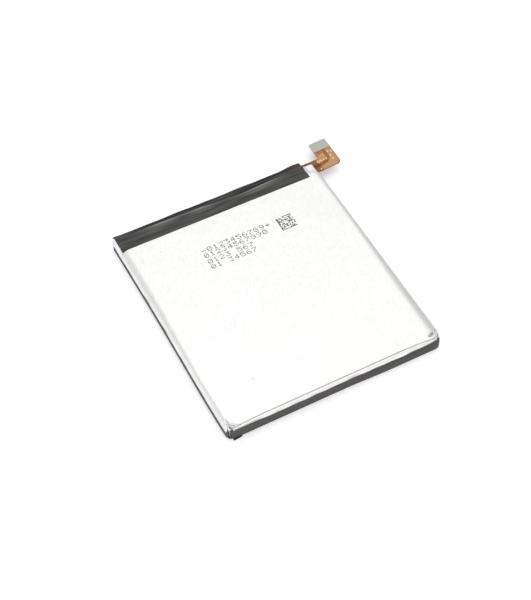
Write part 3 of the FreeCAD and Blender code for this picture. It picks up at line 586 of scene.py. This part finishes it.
def angle(name, description, default):
    """An angle property, given here in degrees."""
    return bpy.props.FloatProperty(
        name=name, description=description, subtype="ANGLE", default=math.radians(default))


def colour(name, description, hex_colour):
    """A colour property from an sRGB hex value."""
    return bpy.props.FloatVectorProperty(
        name=name, description=description, subtype="COLOR", size=4, min=0, max=1,
        default=linear(hex_colour))


class CellFilmSettings(bpy.types.PropertyGroup):
    """Films of the pouch, the label and the tape."""
    laminate: length("Laminate", "Thickness of the aluminium laminate", 0.12)
    label: length("Label film", "Thickness of the black label film", 0.10)
    tape: length("Tape", "Thickness of the black tape", 0.08)
    side_flap: length("Side flap", "Height of the label on the long sides", 1.65)
    near_flap: length("Near flap", "Height of the label on the near side", 3.25)
    tape_ridge: length("Tape ridge", "Height of the crease over the terrace's edge", 0.07)
    tape_bulge: length("Tape bulge", "How far the tape stands out over the flexible circuit", 0.42)


class CellPrintSettings(bpy.types.PropertyGroup):
    """Dots of ink on the lid."""
    dot: length("Dot", "Diameter of an ink dot", 0.25)
    dot_pitch_x: length("Dot pitch across", "Between dots of a figure, across", 0.26)
    dot_pitch_y: length("Dot pitch along", "Between dots of a figure, along", 0.215)
    figure_pitch: length("Figure pitch", "Between neighbouring figures", 1.72)
    block: length("Dot block", "Side of the square block of dots", 4.56)


class CellColourSettings(bpy.types.PropertyGroup):
    """Main colours of the films."""
    foil_warm: colour("Foil, warm", "Laminate where it looks warm", "#F6F5EF")
    foil_cool: colour("Foil, cool", "Laminate where it looks cool", "#F4F3F1")
    tape_dark: colour("Tape, dark", "Tape in its streaks' hollows", "#2B2B28")
    tape_light: colour("Tape, light", "Tape on its streaks", "#4C4C47")
    # painted highlight along the tape's creases, and painted shade on its far face beyond the terrace's
    # edge
    tape_painted_highlight: colour("Tape, rubbed", "Tape along its creases", "#8C8C84")
    tape_painted_shade: colour("Tape, deep", "Tape beyond the terrace's edge", "#101010")
    label_dark: colour("Label, dark", "Label film", "#2C2624")
    label_light: colour("Label, light", "Label film where it is rubbed", "#38312F")
    amber: colour("Coverlay", "Flexible circuit over bare film", "#BD8C5B")
    copper_brown: colour("Coverlay on copper", "Flexible circuit over copper", "#66300F")


class CellStageSettings(bpy.types.PropertyGroup):
    """Camera and light."""
    lens: bpy.props.FloatProperty(name="Lens", description="Focal length in millimetres", default=87.32)
    azimuth: angle("Azimuth", "Camera's turn round the cell", -28.15)
    elevation: angle("Elevation", "Camera above the floor", 52.43)
    distance: length("Distance", "From the camera to its target", 377.0)
    floor: colour("Floor", "Pale floor", "#F7F6F8")
    light: bpy.props.FloatProperty(name="Overhead light", description="Power in watts", default=3.95)


# ---- operators ----------------------------------------------------------------------
class CELL_OT_stage(bpy.types.Operator):
    """Floor, soft light and camera"""
    bl_idname = "cell.stage"
    bl_label = "Stage"

    def execute(self, context):
        scene = context.scene
        s = scene.cell_stage
        half = 4.0 / MM
        corners = [(-half, -half, 0), (half, -half, 0), (half, half, 0), (-half, half, 0)]
        floor = make_piece("floor", corners, [(0, 1, 2, 3)])
        material, place = new_material("matt_card")
        tone = mixed(material, noise(material, place, 1.5), s.floor, linear("#FBFBFC"))
        # a light table: it glows a little from below, which keeps the shadows pale
        shade(material, {"Roughness": 0.9, "Specular IOR Level": 0.1,
                         "Emission Color": linear("#FFFFFF"), "Emission Strength": 0.23}, tone)
        floor.data.materials.append(material)

        world = bpy.data.worlds.new("soft_room")
        world.use_nodes = True
        tree = world.node_tree
        glow = tree.nodes["Background"]
        glow.inputs["Color"].default_value = linear("#F1F2F6")
        # the room is darker on the right, low down
        toward = add(world, "TexCoord").outputs["Generated"]
        right = add(world, "SeparateXYZ", None, {"Vector": toward}).outputs[0]
        tree.links.new(spread(world, right, 0.25, 0.85, 0.71, 0.26), glow.inputs["Strength"])
        scene.world = world

        def soft_light(name, place, size, power):
            """An area light that faces the origin."""
            light = bpy.data.lights.new(name, "AREA")
            light.shape, light.size, light.size_y = "RECTANGLE", size[0], size[1]
            light.energy = power
            lamp = bpy.data.objects.new(name, light)
            lamp.location = place
            lamp.rotation_euler = (-Vector(place)).to_track_quat("-Z", "Y").to_euler()
            scene.collection.objects.link(lamp)

        soft_light("overhead_light", (0.14, 0.05, 0.75), (1.3, 1.1), s.light)
        soft_light("front_light", (-0.22, -0.78, 0.40), (0.5, 0.4), s.light * 0.47)

        target = Vector((-2.25, 1.87, 0.0)) * MM
        a, e = s.azimuth, s.elevation
        back = Vector((math.sin(a) * math.cos(e), -math.cos(a) * math.cos(e), math.sin(e)))
        data = bpy.data.cameras.new("camera")
        data.lens, data.sensor_width = s.lens, 36.0
        data.clip_start, data.clip_end = 0.01, 20.0
        camera = bpy.data.objects.new("camera", data)
        camera.location = target + back * s.distance
        camera.rotation_euler = (-back).to_track_quat("-Z", "Y").to_euler()
        scene.collection.objects.link(camera)
        scene.camera = camera
        scene.view_settings.view_transform = "Standard"
        return {"FINISHED"}


class CELL_OT_pouch(bpy.types.Operator):
    """Lid film with its folded side seals, the left seal's end beside the terrace, and the cup"""
    bl_idname = "cell.pouch"
    bl_label = "Pouch films"

    def execute(self, context):
        film = context.scene.cell_films.laminate / MM
        finish = laminate_finish(context.scene.cell_colours)
        self.lid(film, finish)
        self.cup(film, finish)
        return {"FINISHED"}

    def lid(self, film, finish):
        """Top grid at lid_height; its rim turns down round the fold's radius into the side
        seals and the near wall, and only by the film's edge round the terrace."""
        left_end, right_end = 33.6, 30.6     # where each side seal's fold gives way to the terrace

        def fold(y, side):
            """Radius of the fold along the sides, 0.30 mm, and 0.06 mm round the terrace."""
            return 0.30 - 0.24 * np.where(side < 0, ease((y - left_end) / 0.5), ease((y - right_end) / 1.6))

        across = lines_between(-1, 1, (0.115, 0.115), 0.0026, 0.024)
        along = lines_between(LID_NEAR + 0.22, TERRACE_END - 0.06, (3.2, 4.6), 0.07, 0.62)
        x, y, rim, px, py, nx, ny = pan_rim(
            across, along, lambda v, side: half_width(v, side) - fold(v, side),
            BODY_CORNER - 0.25, 0.45, True)
        flat = np.stack([x, y, lid_height(x, y)], -1)
        pz = lid_height(px, py)
        near = ease(-ny * 1.5)
        radius = fold(py, px) * (1 - near) + 0.22 * near
        end = pz - 0.10
        seal = 1 - np.where(nx < -0.7, ease((py - left_end) / 0.3), ease((py - right_end + 1.4) / 2.1))
        low = end + (SEAL_FOOT - end) * seal
        angle = np.degrees(np.arctan2(-ny, -nx))
        turn = np.radians(np.array([18, 36, 54, 72, 90]))[:, None]
        arc_out, arc_z = radius * np.sin(turn), pz - radius * (1 - np.cos(turn))
        t = np.linspace(0, 1, 15)[1:, None]
        wall_top = pz - radius
        walk = lengths_along(np.stack([px, py], -1))
        sway = (0.05 * ripples(walk[None, :], 6 * t, 11, 7.0) - 0.06) * np.sin(math.pi * t) * (py < 29)
        pinch = -0.10 * hump(t - 0.22, 0.10) * near
        pleat = sum(high * hump(angle - at, wide) for at, wide, high in CORNER_PLEATS)
        wall_out = radius + sway + pinch + pleat * ease(3 * t)
        wall_z = wall_top + (np.minimum(low, wall_top - 0.03) - wall_top) * t
        out = np.vstack([arc_out, wall_out])
        skirt = np.stack([px + nx * out, py + ny * out, np.vstack([arc_z, wall_z])], -1)
        piece = pan_piece("pouch_lid_film", flat, rim, skirt, True, False)
        # painted shade: darker grey in the inward pleats of the near corners, and along the groove and the
        # downward folds on the skirt's first rows
        dark = 0.8 * hump(angle - 60, 5) + 0.45 * hump(angle - 28, 6) + 0.45 * hump(angle - 125, 7)
        painted_shade = np.broadcast_to(dark * near ** 0.3, skirt.shape[:2]).copy()
        painted_shade[:5] = np.maximum(painted_shade[:5], crease_shade(skirt[:5, :, 0], skirt[:5, :, 1]))
        give_value(piece, "crease", np.concatenate([crease_shade(x, y).ravel(), painted_shade.ravel()]))
        give_wall(piece, film)
        finish_piece(piece, finish, "cell", ["pouch_lid"])

        # the left side seal beyond the terrace: an upright strip that drops under the tape
        along_seal = np.linspace(TERRACE_END - 0.45, SEAL_END, 19)[None, :]
        up = np.linspace(0, 1, 25)[:, None]
        foot = SEAL_FOOT + 0.05
        crown = LID_TOP - 0.42 - 0.45 * ease((along_seal - TERRACE_END) / 1.2)
        strip = np.stack([
            -LID_HALF + 0.03 * ripples(9 * up, along_seal, 12, 3.0),
            along_seal + 0 * up, foot + (crown - foot) * up], -1)
        end = make_piece("side_seal_end", strip.reshape(-1, 3), grid_faces(*strip.shape[:2])[:, ::-1])
        # painted shade: the seal's strip a little darker all along, and darker still at its end where it
        # drops under the tape
        give_value(end, "crease", 0.14 + 0.5 * ease((along_seal - SEAL_END + 0.25) / 0.2) + 0 * up)
        give_wall(end, film)
        finish_piece(end, finish, "cell")

    def cup(self, film, finish):
        """Flat base with a round edge, walls up to just under the lid, and a flange that
        turns out under the terrace."""
        base, half, near_y = 0.8, 29.6, LID_NEAR + 0.15
        across = lines_between(-1, 1, (0.08, 0.08), 0.01, 0.05)
        along = lines_between(near_y + base, END_WALL - base, (2.0, 2.0), 0.25, 1.5)
        corner = BODY_CORNER - base
        x, y, rim, px, py, nx, ny = pan_rim(
            across, along, lambda v, side: half - base + 0 * v, corner, corner, True)
        flat = np.stack([x, y, np.full_like(x, CUP_BASE)], -1)
        wall_x, wall_y = px + nx * base, py + ny * base
        top = lid_height(wall_x, np.minimum(wall_y, END_WALL)) - FILM_STEP
        t = np.linspace(0, 1, 13)[1:, None]
        dent = 0.05 * (ripples(wall_x[None, :], 5 * t, 21, 6.0) - 1) * np.sin(math.pi * t)
        wall = np.stack([wall_x + nx * dent, wall_y + ny * dent,
                         CUP_BASE + base + (top - CUP_BASE - base) * t], -1)
        far = ny > 0.05
        f = np.linspace(0, 1, 9)[1:, None]
        reach = np.where(far, TERRACE_END - 0.05 - wall_y, 0)
        flange_y = wall_y + reach * f
        flange_x = np.clip(wall_x + 0 * f, -TERRACE_HALF + 0.04, TERRACE_HALF - 0.04)
        flange = np.stack([flange_x, flange_y, lid_height(flange_x, flange_y) - FILM_STEP], -1)
        skirt = np.concatenate([base_arc(px, py, nx, ny, base, CUP_BASE, 8), wall, flange])
        keep = np.ones((len(skirt), len(rim)), bool)
        keep[-len(f):] = far
        piece = pan_piece("pouch_cup_film", flat, rim, skirt, True, True, keep)
        give_wall(piece, film)
        finish_piece(piece, finish, "cell", ["pouch_cup"])


class CELL_OT_label(bpy.types.Operator):
    """Black label film under the cell, up three of its sides, with its flat tail"""
    bl_idname = "cell.label"
    bl_label = "Label film"

    def execute(self, context):
        s = context.scene.cell_films
        film, side_flap, near_flap = s.label / MM, s.side_flap / MM, s.near_flap / MM
        half, near_y, base = LABEL_HIGH[0], -END_WALL, 0.9
        under_end, left_end = END_WALL - 0.4, SEAL_END
        across = lines_between(-1, 1, (0.10, 0.10), 0.0028, 0.04)
        along = lines_between(near_y + base, left_end, (3.0, left_end - under_end), 0.10, 0.9)
        x, y, rim, px, py, nx, ny = pan_rim(
            across, along, lambda v, side: half - base + 0 * v, LABEL_CORNER - base, 0, False)
        flat = np.stack([x, y, 0 * x], -1)
        near = ease(-ny * 1.2)
        walk = lengths_along(np.stack([px, py], -1))
        slope = 0.35 * ease((-15 - px) / 10) - 0.15 * ease((px - 3) / 12)
        top = side_flap + (near_flap + slope - side_flap) * near + 0.018 * ripples(walk, 0 * walk, 5, 14.0)
        top = top + 0.45 * hump(np.hypot(px - 28.4, py + 30.3), 1.4)
        t = np.linspace(0, 1, 15)[1:, None]
        sway = -0.03 * (1 + ripples(walk[None, :], 4 * t, 8, 5.0)) * t ** 2
        wall = np.stack([px + nx * (base + sway), py + ny * (base + sway), base + (top - base) * t], -1)
        skirt = np.concatenate([base_arc(px, py, nx, ny, base, 0, 10), wall])
        # a slit between the side flap and the near flap at the near-left corner
        angle = np.degrees(np.arctan2(-ny, -nx))
        slit = (nx < 0) & (angle > 44) & (angle < 48.5)
        beyond = py > under_end + 0.01
        keep = np.ones((len(skirt), len(rim)), bool)
        keep[:, beyond] = False
        keep[6:] = ~slit & (~beyond | (nx < 0))
        top_rows = int((along <= under_end + 0.01).sum())
        piece = pan_piece("label_film", flat, rim, skirt, False, True, keep, top_rows)
        rub = np.zeros(len(piece.data.vertices))
        rub[-len(rim):] = 0.8
        give_value(piece, "rubbed", rub)
        give_wall(piece, film)
        finish = label_finish(context.scene.cell_colours)
        finish_piece(piece, finish, "cell", ["label_wrap"])

        # the tail: a flat strip whose outer corner curls up a little
        u = np.linspace(-29.1, -26.7, 25)[None, :]
        v = np.linspace(-32.28, -30.6, 19)[:, None]
        lift = 0.10 * ease((-31.9 - v) / 0.4) * ease((-27.6 - u) / 1.5) + 0.02
        skew = 0.16 * (u + 27.9) / 1.2 * ease(-31.5 - v)
        grid = np.stack([u + 0 * v, v + skew, film + lift], -1)
        grid[..., 1] = np.maximum(grid[..., 1], LABEL_LOW[1])
        tail = make_piece("label_film_tail", grid.reshape(-1, 3), grid_faces(*grid.shape[:2]))
        give_value(tail, "rubbed", 0.25 * ease((-31.9 - grid[..., 1]) / 0.3))
        give_wall(tail, film)
        finish_piece(tail, finish, "cell")
        return {"FINISHED"}


class CELL_OT_tape(bpy.types.Operator):
    """Black tape over the terrace, down its far face and back under the board"""
    bl_idname = "cell.tape"
    bl_label = "Terrace tape"

    def execute(self, context):
        s = context.scene.cell_films
        film, ridge, bulge = s.tape / MM, s.tape_ridge / MM, s.tape_bulge / MM
        top, far, floor = TAPE_HIGH[2], TAPE_HIGH[1], TAPE_LOW[2] + 0.575
        route = [(TAPE_LOW[1], top), (TERRACE_END + 0.12, top), (far - 0.50, LID_TOP - 0.61), (far, 2.9),
                 (far, floor), (END_WALL + film, floor), (END_WALL + film, TAPE_LOW[2])]
        path = self.rounded(route, 0.42, 0.085)
        way = lengths_along(path)
        slope = np.gradient(path, way, axis=0)
        normal = np.stack([-slope[:, 1], slope[:, 0]], -1)
        normal /= np.linalg.norm(normal, axis=1)[:, None]
        x = np.linspace(TAPE_LOW[0], TAPE_HIGH[0], 330)[None, :]
        y, z, w = path[:, :1], path[:, 1:], way[:, None]
        crest = way[np.argmin(np.abs(path[:, 0] - (TERRACE_END - 0.05)))]
        second = way[np.argmin(np.abs(path[:, 0] - 33.0))]
        shoulder = crest + 1.95
        # the crease over the terrace's edge wanders, and comes and goes along the tape
        wander = np.interp(x, (-28, -19.5, -4.5, 6.8, 16.7, 26), (0.3, 0.15, -0.2, -0.95, -0.45, -0.1))
        wander = wander + 0.05 * ripples(x, 0, 31, 17.0)
        from_crest, from_second = w - crest - wander, w - second - 0.6 * wander
        vary = 0.25 + 0.95 * np.clip(hump(x + 16, 5) + hump(x + 5, 4) + hump(x - 13, 6), 0, 1)
        push = ridge * vary * hump(from_crest, 0.17)
        uneven = 0.7 + 0.3 * ripples(x, 0, 33, 9.0)
        push = push + 0.45 * ridge * hump(from_second, 0.22) * uneven
        push = push - 0.10 * hump(w - crest - 0.75, 0.42) * (0.8 + 0.4 * ripples(x, 0, 34, 12.0))
        push = push + 0.018 * ripples(x / 9, w, 35, 1.3) * ease(w / 0.5)
        push = push + bulge * ease((x - 19.5) / 5.0) * hump(w - shoulder - 0.5, 1.0)
        push = push + 0.04 * ripples(x, w, 36, 6.0) * ease((w - crest) / 1.0) * ease((TAPE_HIGH[0] - x) / 2)
        yy = y + normal[:, :1] * push
        zz = z + normal[:, 1:] * push
        # on the pouch the tape lies on the lid film
        over = 1 - ease((y - TERRACE_END + 0.2) / 1.3)
        upper = w < shoulder
        lid = lid_height(x, np.minimum(y, TERRACE_END - 0.1) + 0 * x) - LID_TOP
        zz = zz + np.where(upper, over * lid + 0.012, 0)
        # past the board's left end both layers come together
        closing = ease((-25.0 - x) / 3.2)
        outward = path[:len(path) // 2]
        sheet_z = np.interp(yy, outward[:, 0], outward[:, 1]) - 0.17
        under = np.where(yy < TERRACE_END, LID_TOP - 0.44, sheet_z)
        under = np.minimum(under, LID_TOP - 0.44) - 0.25 * np.clip(floor - z, 0, 1)
        zz = zz + closing * np.where(zz < under, under - zz, 0)
        points = np.stack([x + 0 * y, yy, zz], -1)
        points[..., 0] += 0.05 * np.sin(1.9 * w) * (x > 0) * ease((x - 25.6) / 1.0)
        faces = grid_faces(*points.shape[:2])
        piece = make_piece("terrace_tape", points.reshape(-1, 3), faces, 60.0)
        tint = ease((x - 16) / 7) * hump(w - crest - 0.9, 1.3)
        give_value(piece, "tint", np.clip(tint, 0, 1))
        # painted highlight along the crease lines, and painted shade on the far face beyond the crest,
        # stored in pale around 0.5
        line = hump(from_crest + 0.05, 0.20) * np.clip(vary - 0.25, 0, 1)
        line = line + 0.30 * hump(from_crest + 0.65, 0.45) * np.clip(vary - 0.3, 0, 1)
        line = line + 0.4 * hump(from_second, 0.16) * np.clip(vary - 0.45, 0, 1)
        beyond_crest = ease((from_crest - 0.08) / 0.22) * (0.35 + 0.65 * np.clip(vary, 0, 1))
        ends = ease((x + 28.5) / 4) * ease((27 - x) / 5)
        pale = 0.5 + 0.5 * line - 0.5 * beyond_crest * (0.25 + 0.75 * ends)
        give_value(piece, "pale", np.clip(pale, 0, 1))
        give_wall(piece, film)
        finish_piece(piece, tape_finish(context.scene.cell_colours), "cell", ["top_tape"])
        return {"FINISHED"}

    def rounded(self, route, radius, step):
        """The route's runs with an arc of the radius at each corner, in even steps."""
        points = [np.array(route[0], float)]
        for before, here, after in zip(route[:-2], route[1:-1], route[2:]):
            before, here, after = (np.array(v, float) for v in (before, here, after))
            into, out = (here - before), (after - here)
            into, out = into / np.linalg.norm(into), out / np.linalg.norm(out)
            turn = math.acos(max(-1.0, min(1.0, float(into @ out))))
            cut = radius * math.tan(turn / 2)
            t = np.linspace(0, 1, 12)[:, None]
            start, end = here - into * cut, here + out * cut
            points.extend((1 - t) ** 2 * start + 2 * t * (1 - t) * here + t ** 2 * end)
        points.append(np.array(route[-1], float))
        points = np.array(points)
        return resampled(points, round(lengths_along(points)[-1] / step) + 1)


class CELL_OT_flex(bpy.types.Operator):
    """Flexible circuit: the strip and arm, and the tail that carries the connector"""
    bl_idname = "cell.flex"
    bl_label = "Flexible circuit"

    def execute(self, context):
        left, right, end = LEG_LEFT, LEG_RIGHT, LEG_END
        near, far = ROOT_LOW[1], ROOT_HIGH[1]
        start, split = ROOT_LOW[0], far + 0.65
        inner_r, outer_r, tip_r = 0.25, 1.30, 0.45
        # both edges of the L, point by point: a straight run, the turn, and the leg
        run = np.linspace(start, left - inner_r, 150)
        neck = np.linspace(far + inner_r, split, 6)[1:]
        arm_inner = np.vstack([
            np.stack([run, far + 0 * run], -1),
            arc(left - inner_r, far + inner_r, inner_r, np.linspace(-90, 0, 62)[1:]),
            np.stack([left + 0 * neck, neck], -1)])
        corner = np.vstack([
            (left - inner_r, near), arc(right - outer_r, near + outer_r, outer_r, np.linspace(-90, 0, 30)),
            (right, far + inner_r)])
        arm_outer = np.vstack([
            np.stack([run, near + 0 * run], -1), resampled(corner, 62)[1:],
            np.stack([right + 0 * neck, neck], -1)])
        leg = np.unique(np.concatenate([np.linspace(split, end - tip_r, 46),
                                        end - tip_r + tip_r * np.sin(np.linspace(0, math.pi / 2, 10))]))
        over = np.clip((leg - end + tip_r) / tip_r, 0, 1)
        inset = tip_r * (1 - np.sqrt(np.maximum(1 - over ** 2, 0)))
        tail_inner = np.stack([left + inset, leg], -1)
        tail_outer = np.stack([right - inset, leg], -1)
        finish = coverlay_finish(context.scene.cell_colours)
        arm = self.plate("flex_arm_strip", arm_inner, arm_outer, finish, ["flex_root", "flex_arm"])
        tail = self.plate("flex_tail_leg", tail_inner, tail_outer, finish, ["flex_tail"])
        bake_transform(arm)
        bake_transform(tail)
        return {"FINISHED"}

    def plate(self, name, inner, outer, finish, replaced):
        """A thin closed plate: ruled lines between two edges, a top and an under face and
        ends, turned up by RISE times ease((x - 30.2) / 1.2) about the root's bend."""
        t = np.concatenate([[0, 0.012], np.linspace(0.03, 0.97, 44), [0.988, 1]])[None, :, None]
        plan = outer[:, None, :] * (1 - t) + inner[:, None, :] * t
        x, y = plan[..., 0], plan[..., 1]
        copper = self.copper(x, y)
        edge = np.minimum(t[..., 0], 1 - t[..., 0]) + 0 * x
        slim = FLEX_HALF_THICK * np.where(edge < 0.001, 0.55, 1.0)
        z_top = FLEX_MIDDLE + slim + 0.006 * copper
        z_low = FLEX_MIDDLE - slim
        x = np.concatenate([x, x[:, ::-1]], 1)
        y = np.concatenate([y, y[:, ::-1]], 1)
        z = np.concatenate([z_top, z_low[:, ::-1]], 1)
        turn = np.radians(RISE) * ease((x - ROOT_BEND_X + 0.6) / 1.2)
        dx, dz = x - ROOT_BEND_X, z - FLEX_MIDDLE
        x = ROOT_BEND_X + dx * np.cos(turn) - dz * np.sin(turn)
        z = FLEX_MIDDLE + dx * np.sin(turn) + dz * np.cos(turn)
        rows, ring = x.shape
        points = np.stack([x, y, z], -1).reshape(-1, 3)
        faces = grid_faces(rows, ring, wrap=True)
        half = ring // 2
        j = np.arange(half - 1)
        cap = np.stack([j, ring - 1 - j, ring - 2 - j, j + 1], -1)
        last = (rows - 1) * ring
        faces = np.vstack([faces, cap, last + cap[:, ::-1]])
        piece = make_piece(name, points, faces, 40.0)
        self.face_outwards(piece)
        mark = np.concatenate([copper, 0.75 + 0 * copper], 1)
        rim = np.concatenate([edge + 0.03 * (t[..., 0] > 0.5), edge[:, ::-1]], 1)
        mark = np.where(rim < 0.045, np.maximum(mark, 0.9), mark)
        give_value(piece, "copper", mark)
        finish_piece(piece, finish, None, replaced)
        return piece

    def face_outwards(self, piece):
        """Turn every face out if the plate's volume comes out negative."""
        mesh = piece.data
        mesh.calc_loop_triangles()
        corners = np.empty(3 * len(mesh.loop_triangles), np.int32)
        mesh.loop_triangles.foreach_get("vertices", corners)
        points = np.empty(3 * len(mesh.vertices), np.float32)
        mesh.vertices.foreach_get("co", points)
        points = points.reshape(-1, 3).astype(float)
        a, b, c = (points[corners[i::3]] for i in range(3))
        if np.einsum("ij,ij->i", a, np.cross(b, c)).sum() < 0:
            mesh.flip_normals()

    def copper(self, x, y):
        """How dark the coverlay is, 0 to 1: copper close under the film in a band from the root round
        to the tail, with bars across it at a fixed pitch, and painted shade over the whole of the root."""
        line = [(17.0, 34.3), (31.6, 34.25), (33.2, 34.35), (34.6, 34.7), (35.3, 35.4),
                (35.55, 36.3), (35.5, 38.9)]
        gap, place = along_line(line, x, y)
        band = 1 - ease((gap - 0.42) / 0.25)
        bars = 0.5 + 0.5 * np.sin(2 * math.pi * place / 0.62)
        # painted shade: the whole root beside the cell darker
        root = ease((33.0 - x) / 1.6)
        tail = 0.55 * hump(x - 33.9, 0.7) * ease((y - 36.9) / 0.6)
        contrast = 0.55 - 0.35 * ease((x - 34.6) / 0.5)
        banded = band * (0.45 + contrast * ease(bars * 2.0 - 0.5))
        return np.clip(0.05 + 0.70 * root + banded + tail, 0, 1)


FIGURES = {
    "0": "01110 10001 10011 10101 11001 10001 01110", "1": "00100 01100 00100 00100 00100 00100 01110",
    "2": "01110 10001 00001 00010 00100 01000 11111", "3": "11111 00010 00100 00010 00001 10001 01110",
    "4": "00010 00110 01010 10010 11111 00010 00010", "5": "11111 10000 11110 00001 00001 10001 01110",
    "6": "00110 01000 10000 11110 10001 10001 01110", "7": "11111 00001 00010 00100 01000 01000 01000",
    "8": "01110 10001 10001 01110 10001 10001 01110", "9": "01110 10001 10001 01111 00001 00010 01100",
    "-": "00000 00000 00000 11111 00000 00000 00000", "+": "00000 00100 00100 11111 00100 00100 00000",
    " ": "00000 00000 00000 00000 00000 00000 00000",
}
PRINT_ROWS = (("-0123456789+", 20.5), ("01234567890", 18.7), ("0123 567", 16.6), ("01 34567", 14.7))


class CELL_OT_print(bpy.types.Operator):
    """Counting figures between a minus and a plus, and a block of dots, in ink on the lid"""
    bl_idname = "cell.print"
    bl_label = "Ink print"

    def execute(self, context):
        s = context.scene.cell_print
        dot = s.dot / MM
        rng = np.random.default_rng(7)
        places = []
        for text, middle in PRINT_ROWS:
            for i, sign in enumerate(text):
                bits = np.array([[int(b) for b in row] for row in FIGURES[sign].split()])
                row, column = np.nonzero(bits)
                x = -11.2 + i * s.figure_pitch / MM + column * s.dot_pitch_x / MM
                y = middle + (3 - row) * s.dot_pitch_y / MM
                places.append(np.stack([x, y], -1))
        places = np.concatenate(places)
        places = places + rng.normal(0, 0.018, places.shape)
        ink = print_finish()
        figures = self.dots("ink_figures", places, dot / 2 * rng.uniform(0.85, 1.1, len(places)))
        finish_piece(figures, ink, "cell")

        cells = 16
        pitch = s.block / MM / cells
        shown = rng.random((cells, cells)) < 0.46
        shown[:, 0] = shown[-1, :] = True
        row, column = np.nonzero(shown)
        block = np.stack([11.0 + (column + 0.5) * pitch, 21.33 - (row + 0.5) * pitch], -1)
        block = block + rng.normal(0, 0.014, block.shape)
        squares = self.dots("ink_dot_block", block, 0.54 * pitch * rng.uniform(0.8, 1.1, len(block)))
        finish_piece(squares, ink, "cell")
        return {"FINISHED"}

    def dots(self, name, places, radii):
        """Flat six-sided drops that follow the lid's face, 0.02 mm proud of it."""
        angle = np.arange(6) * math.pi / 3
        x = places[:, :1] + radii[:, None] * np.cos(angle)
        y = places[:, 1:] + radii[:, None] * np.sin(angle)
        z = lid_height(x, y)
        points = np.stack([np.stack([x, y, z + 0.02], -1), np.stack([x, y, z - 0.03], -1)], 1)
        first = 12 * np.arange(len(places))[:, None]
        j = np.arange(6)
        after = (j + 1) % 6
        sides = np.stack([6 + j, 6 + after, after, j], -1)[None] + first[:, :, None]
        tops = (j[None] + first).tolist()
        under = (11 - j[None] + first).tolist()
        faces = sides.reshape(-1, 4).tolist() + tops + under
        return make_piece(name, points.reshape(-1, 3), faces, 30.0)


class CELL_OT_finishes(bpy.types.Operator):
    """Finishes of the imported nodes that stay: board, components, tabs, stack, connector"""
    bl_idname = "cell.finishes"
    bl_label = "Finishes of packed nodes"

    def execute(self, context):
        for name, (nodes, *finish) in NODE_FINISHES.items():
            material = grain_finish(name, *finish)
            for node in nodes:
                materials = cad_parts[node].data.materials
                materials.clear()
                materials.append(material)
        return {"FINISHED"}


class CELL_PT_panel(bpy.types.Panel):
    """Lists the cell's settings and its steps"""
    bl_idname = "CELL_PT_panel"
    bl_label = "Pouch battery cell"
    bl_space_type = "VIEW_3D"
    bl_region_type = "UI"
    bl_category = "Cell"

    def draw(self, context):
        column = self.layout.column()
        for group, _ in GROUPS:
            settings = getattr(context.scene, group)
            for key in settings.__annotations__:
                column.prop(settings, key)
        for step in STEPS:
            column.operator(step.bl_idname)


GROUPS = (
    ("cell_films", CellFilmSettings), ("cell_print", CellPrintSettings),
    ("cell_colours", CellColourSettings), ("cell_stage", CellStageSettings),
)
STEPS = (
    CELL_OT_stage, CELL_OT_pouch, CELL_OT_label, CELL_OT_tape, CELL_OT_flex, CELL_OT_print,
    CELL_OT_finishes,
)


def register():
    for name, group in GROUPS:
        bpy.utils.register_class(group)
        setattr(bpy.types.Scene, name, bpy.props.PointerProperty(type=group))
    for step in STEPS:
        bpy.utils.register_class(step)
    bpy.utils.register_class(CELL_PT_panel)


def unregister():
    bpy.utils.unregister_class(CELL_PT_panel)
    for step in reversed(STEPS):
        bpy.utils.unregister_class(step)
    for name, group in reversed(GROUPS):
        delattr(bpy.types.Scene, name)
        bpy.utils.unregister_class(group)


def main():
    register()
    for step in STEPS:
        area, call = step.bl_idname.split(".")
        getattr(getattr(bpy.ops, area), call)()


if __name__ == "__main__":
    main()
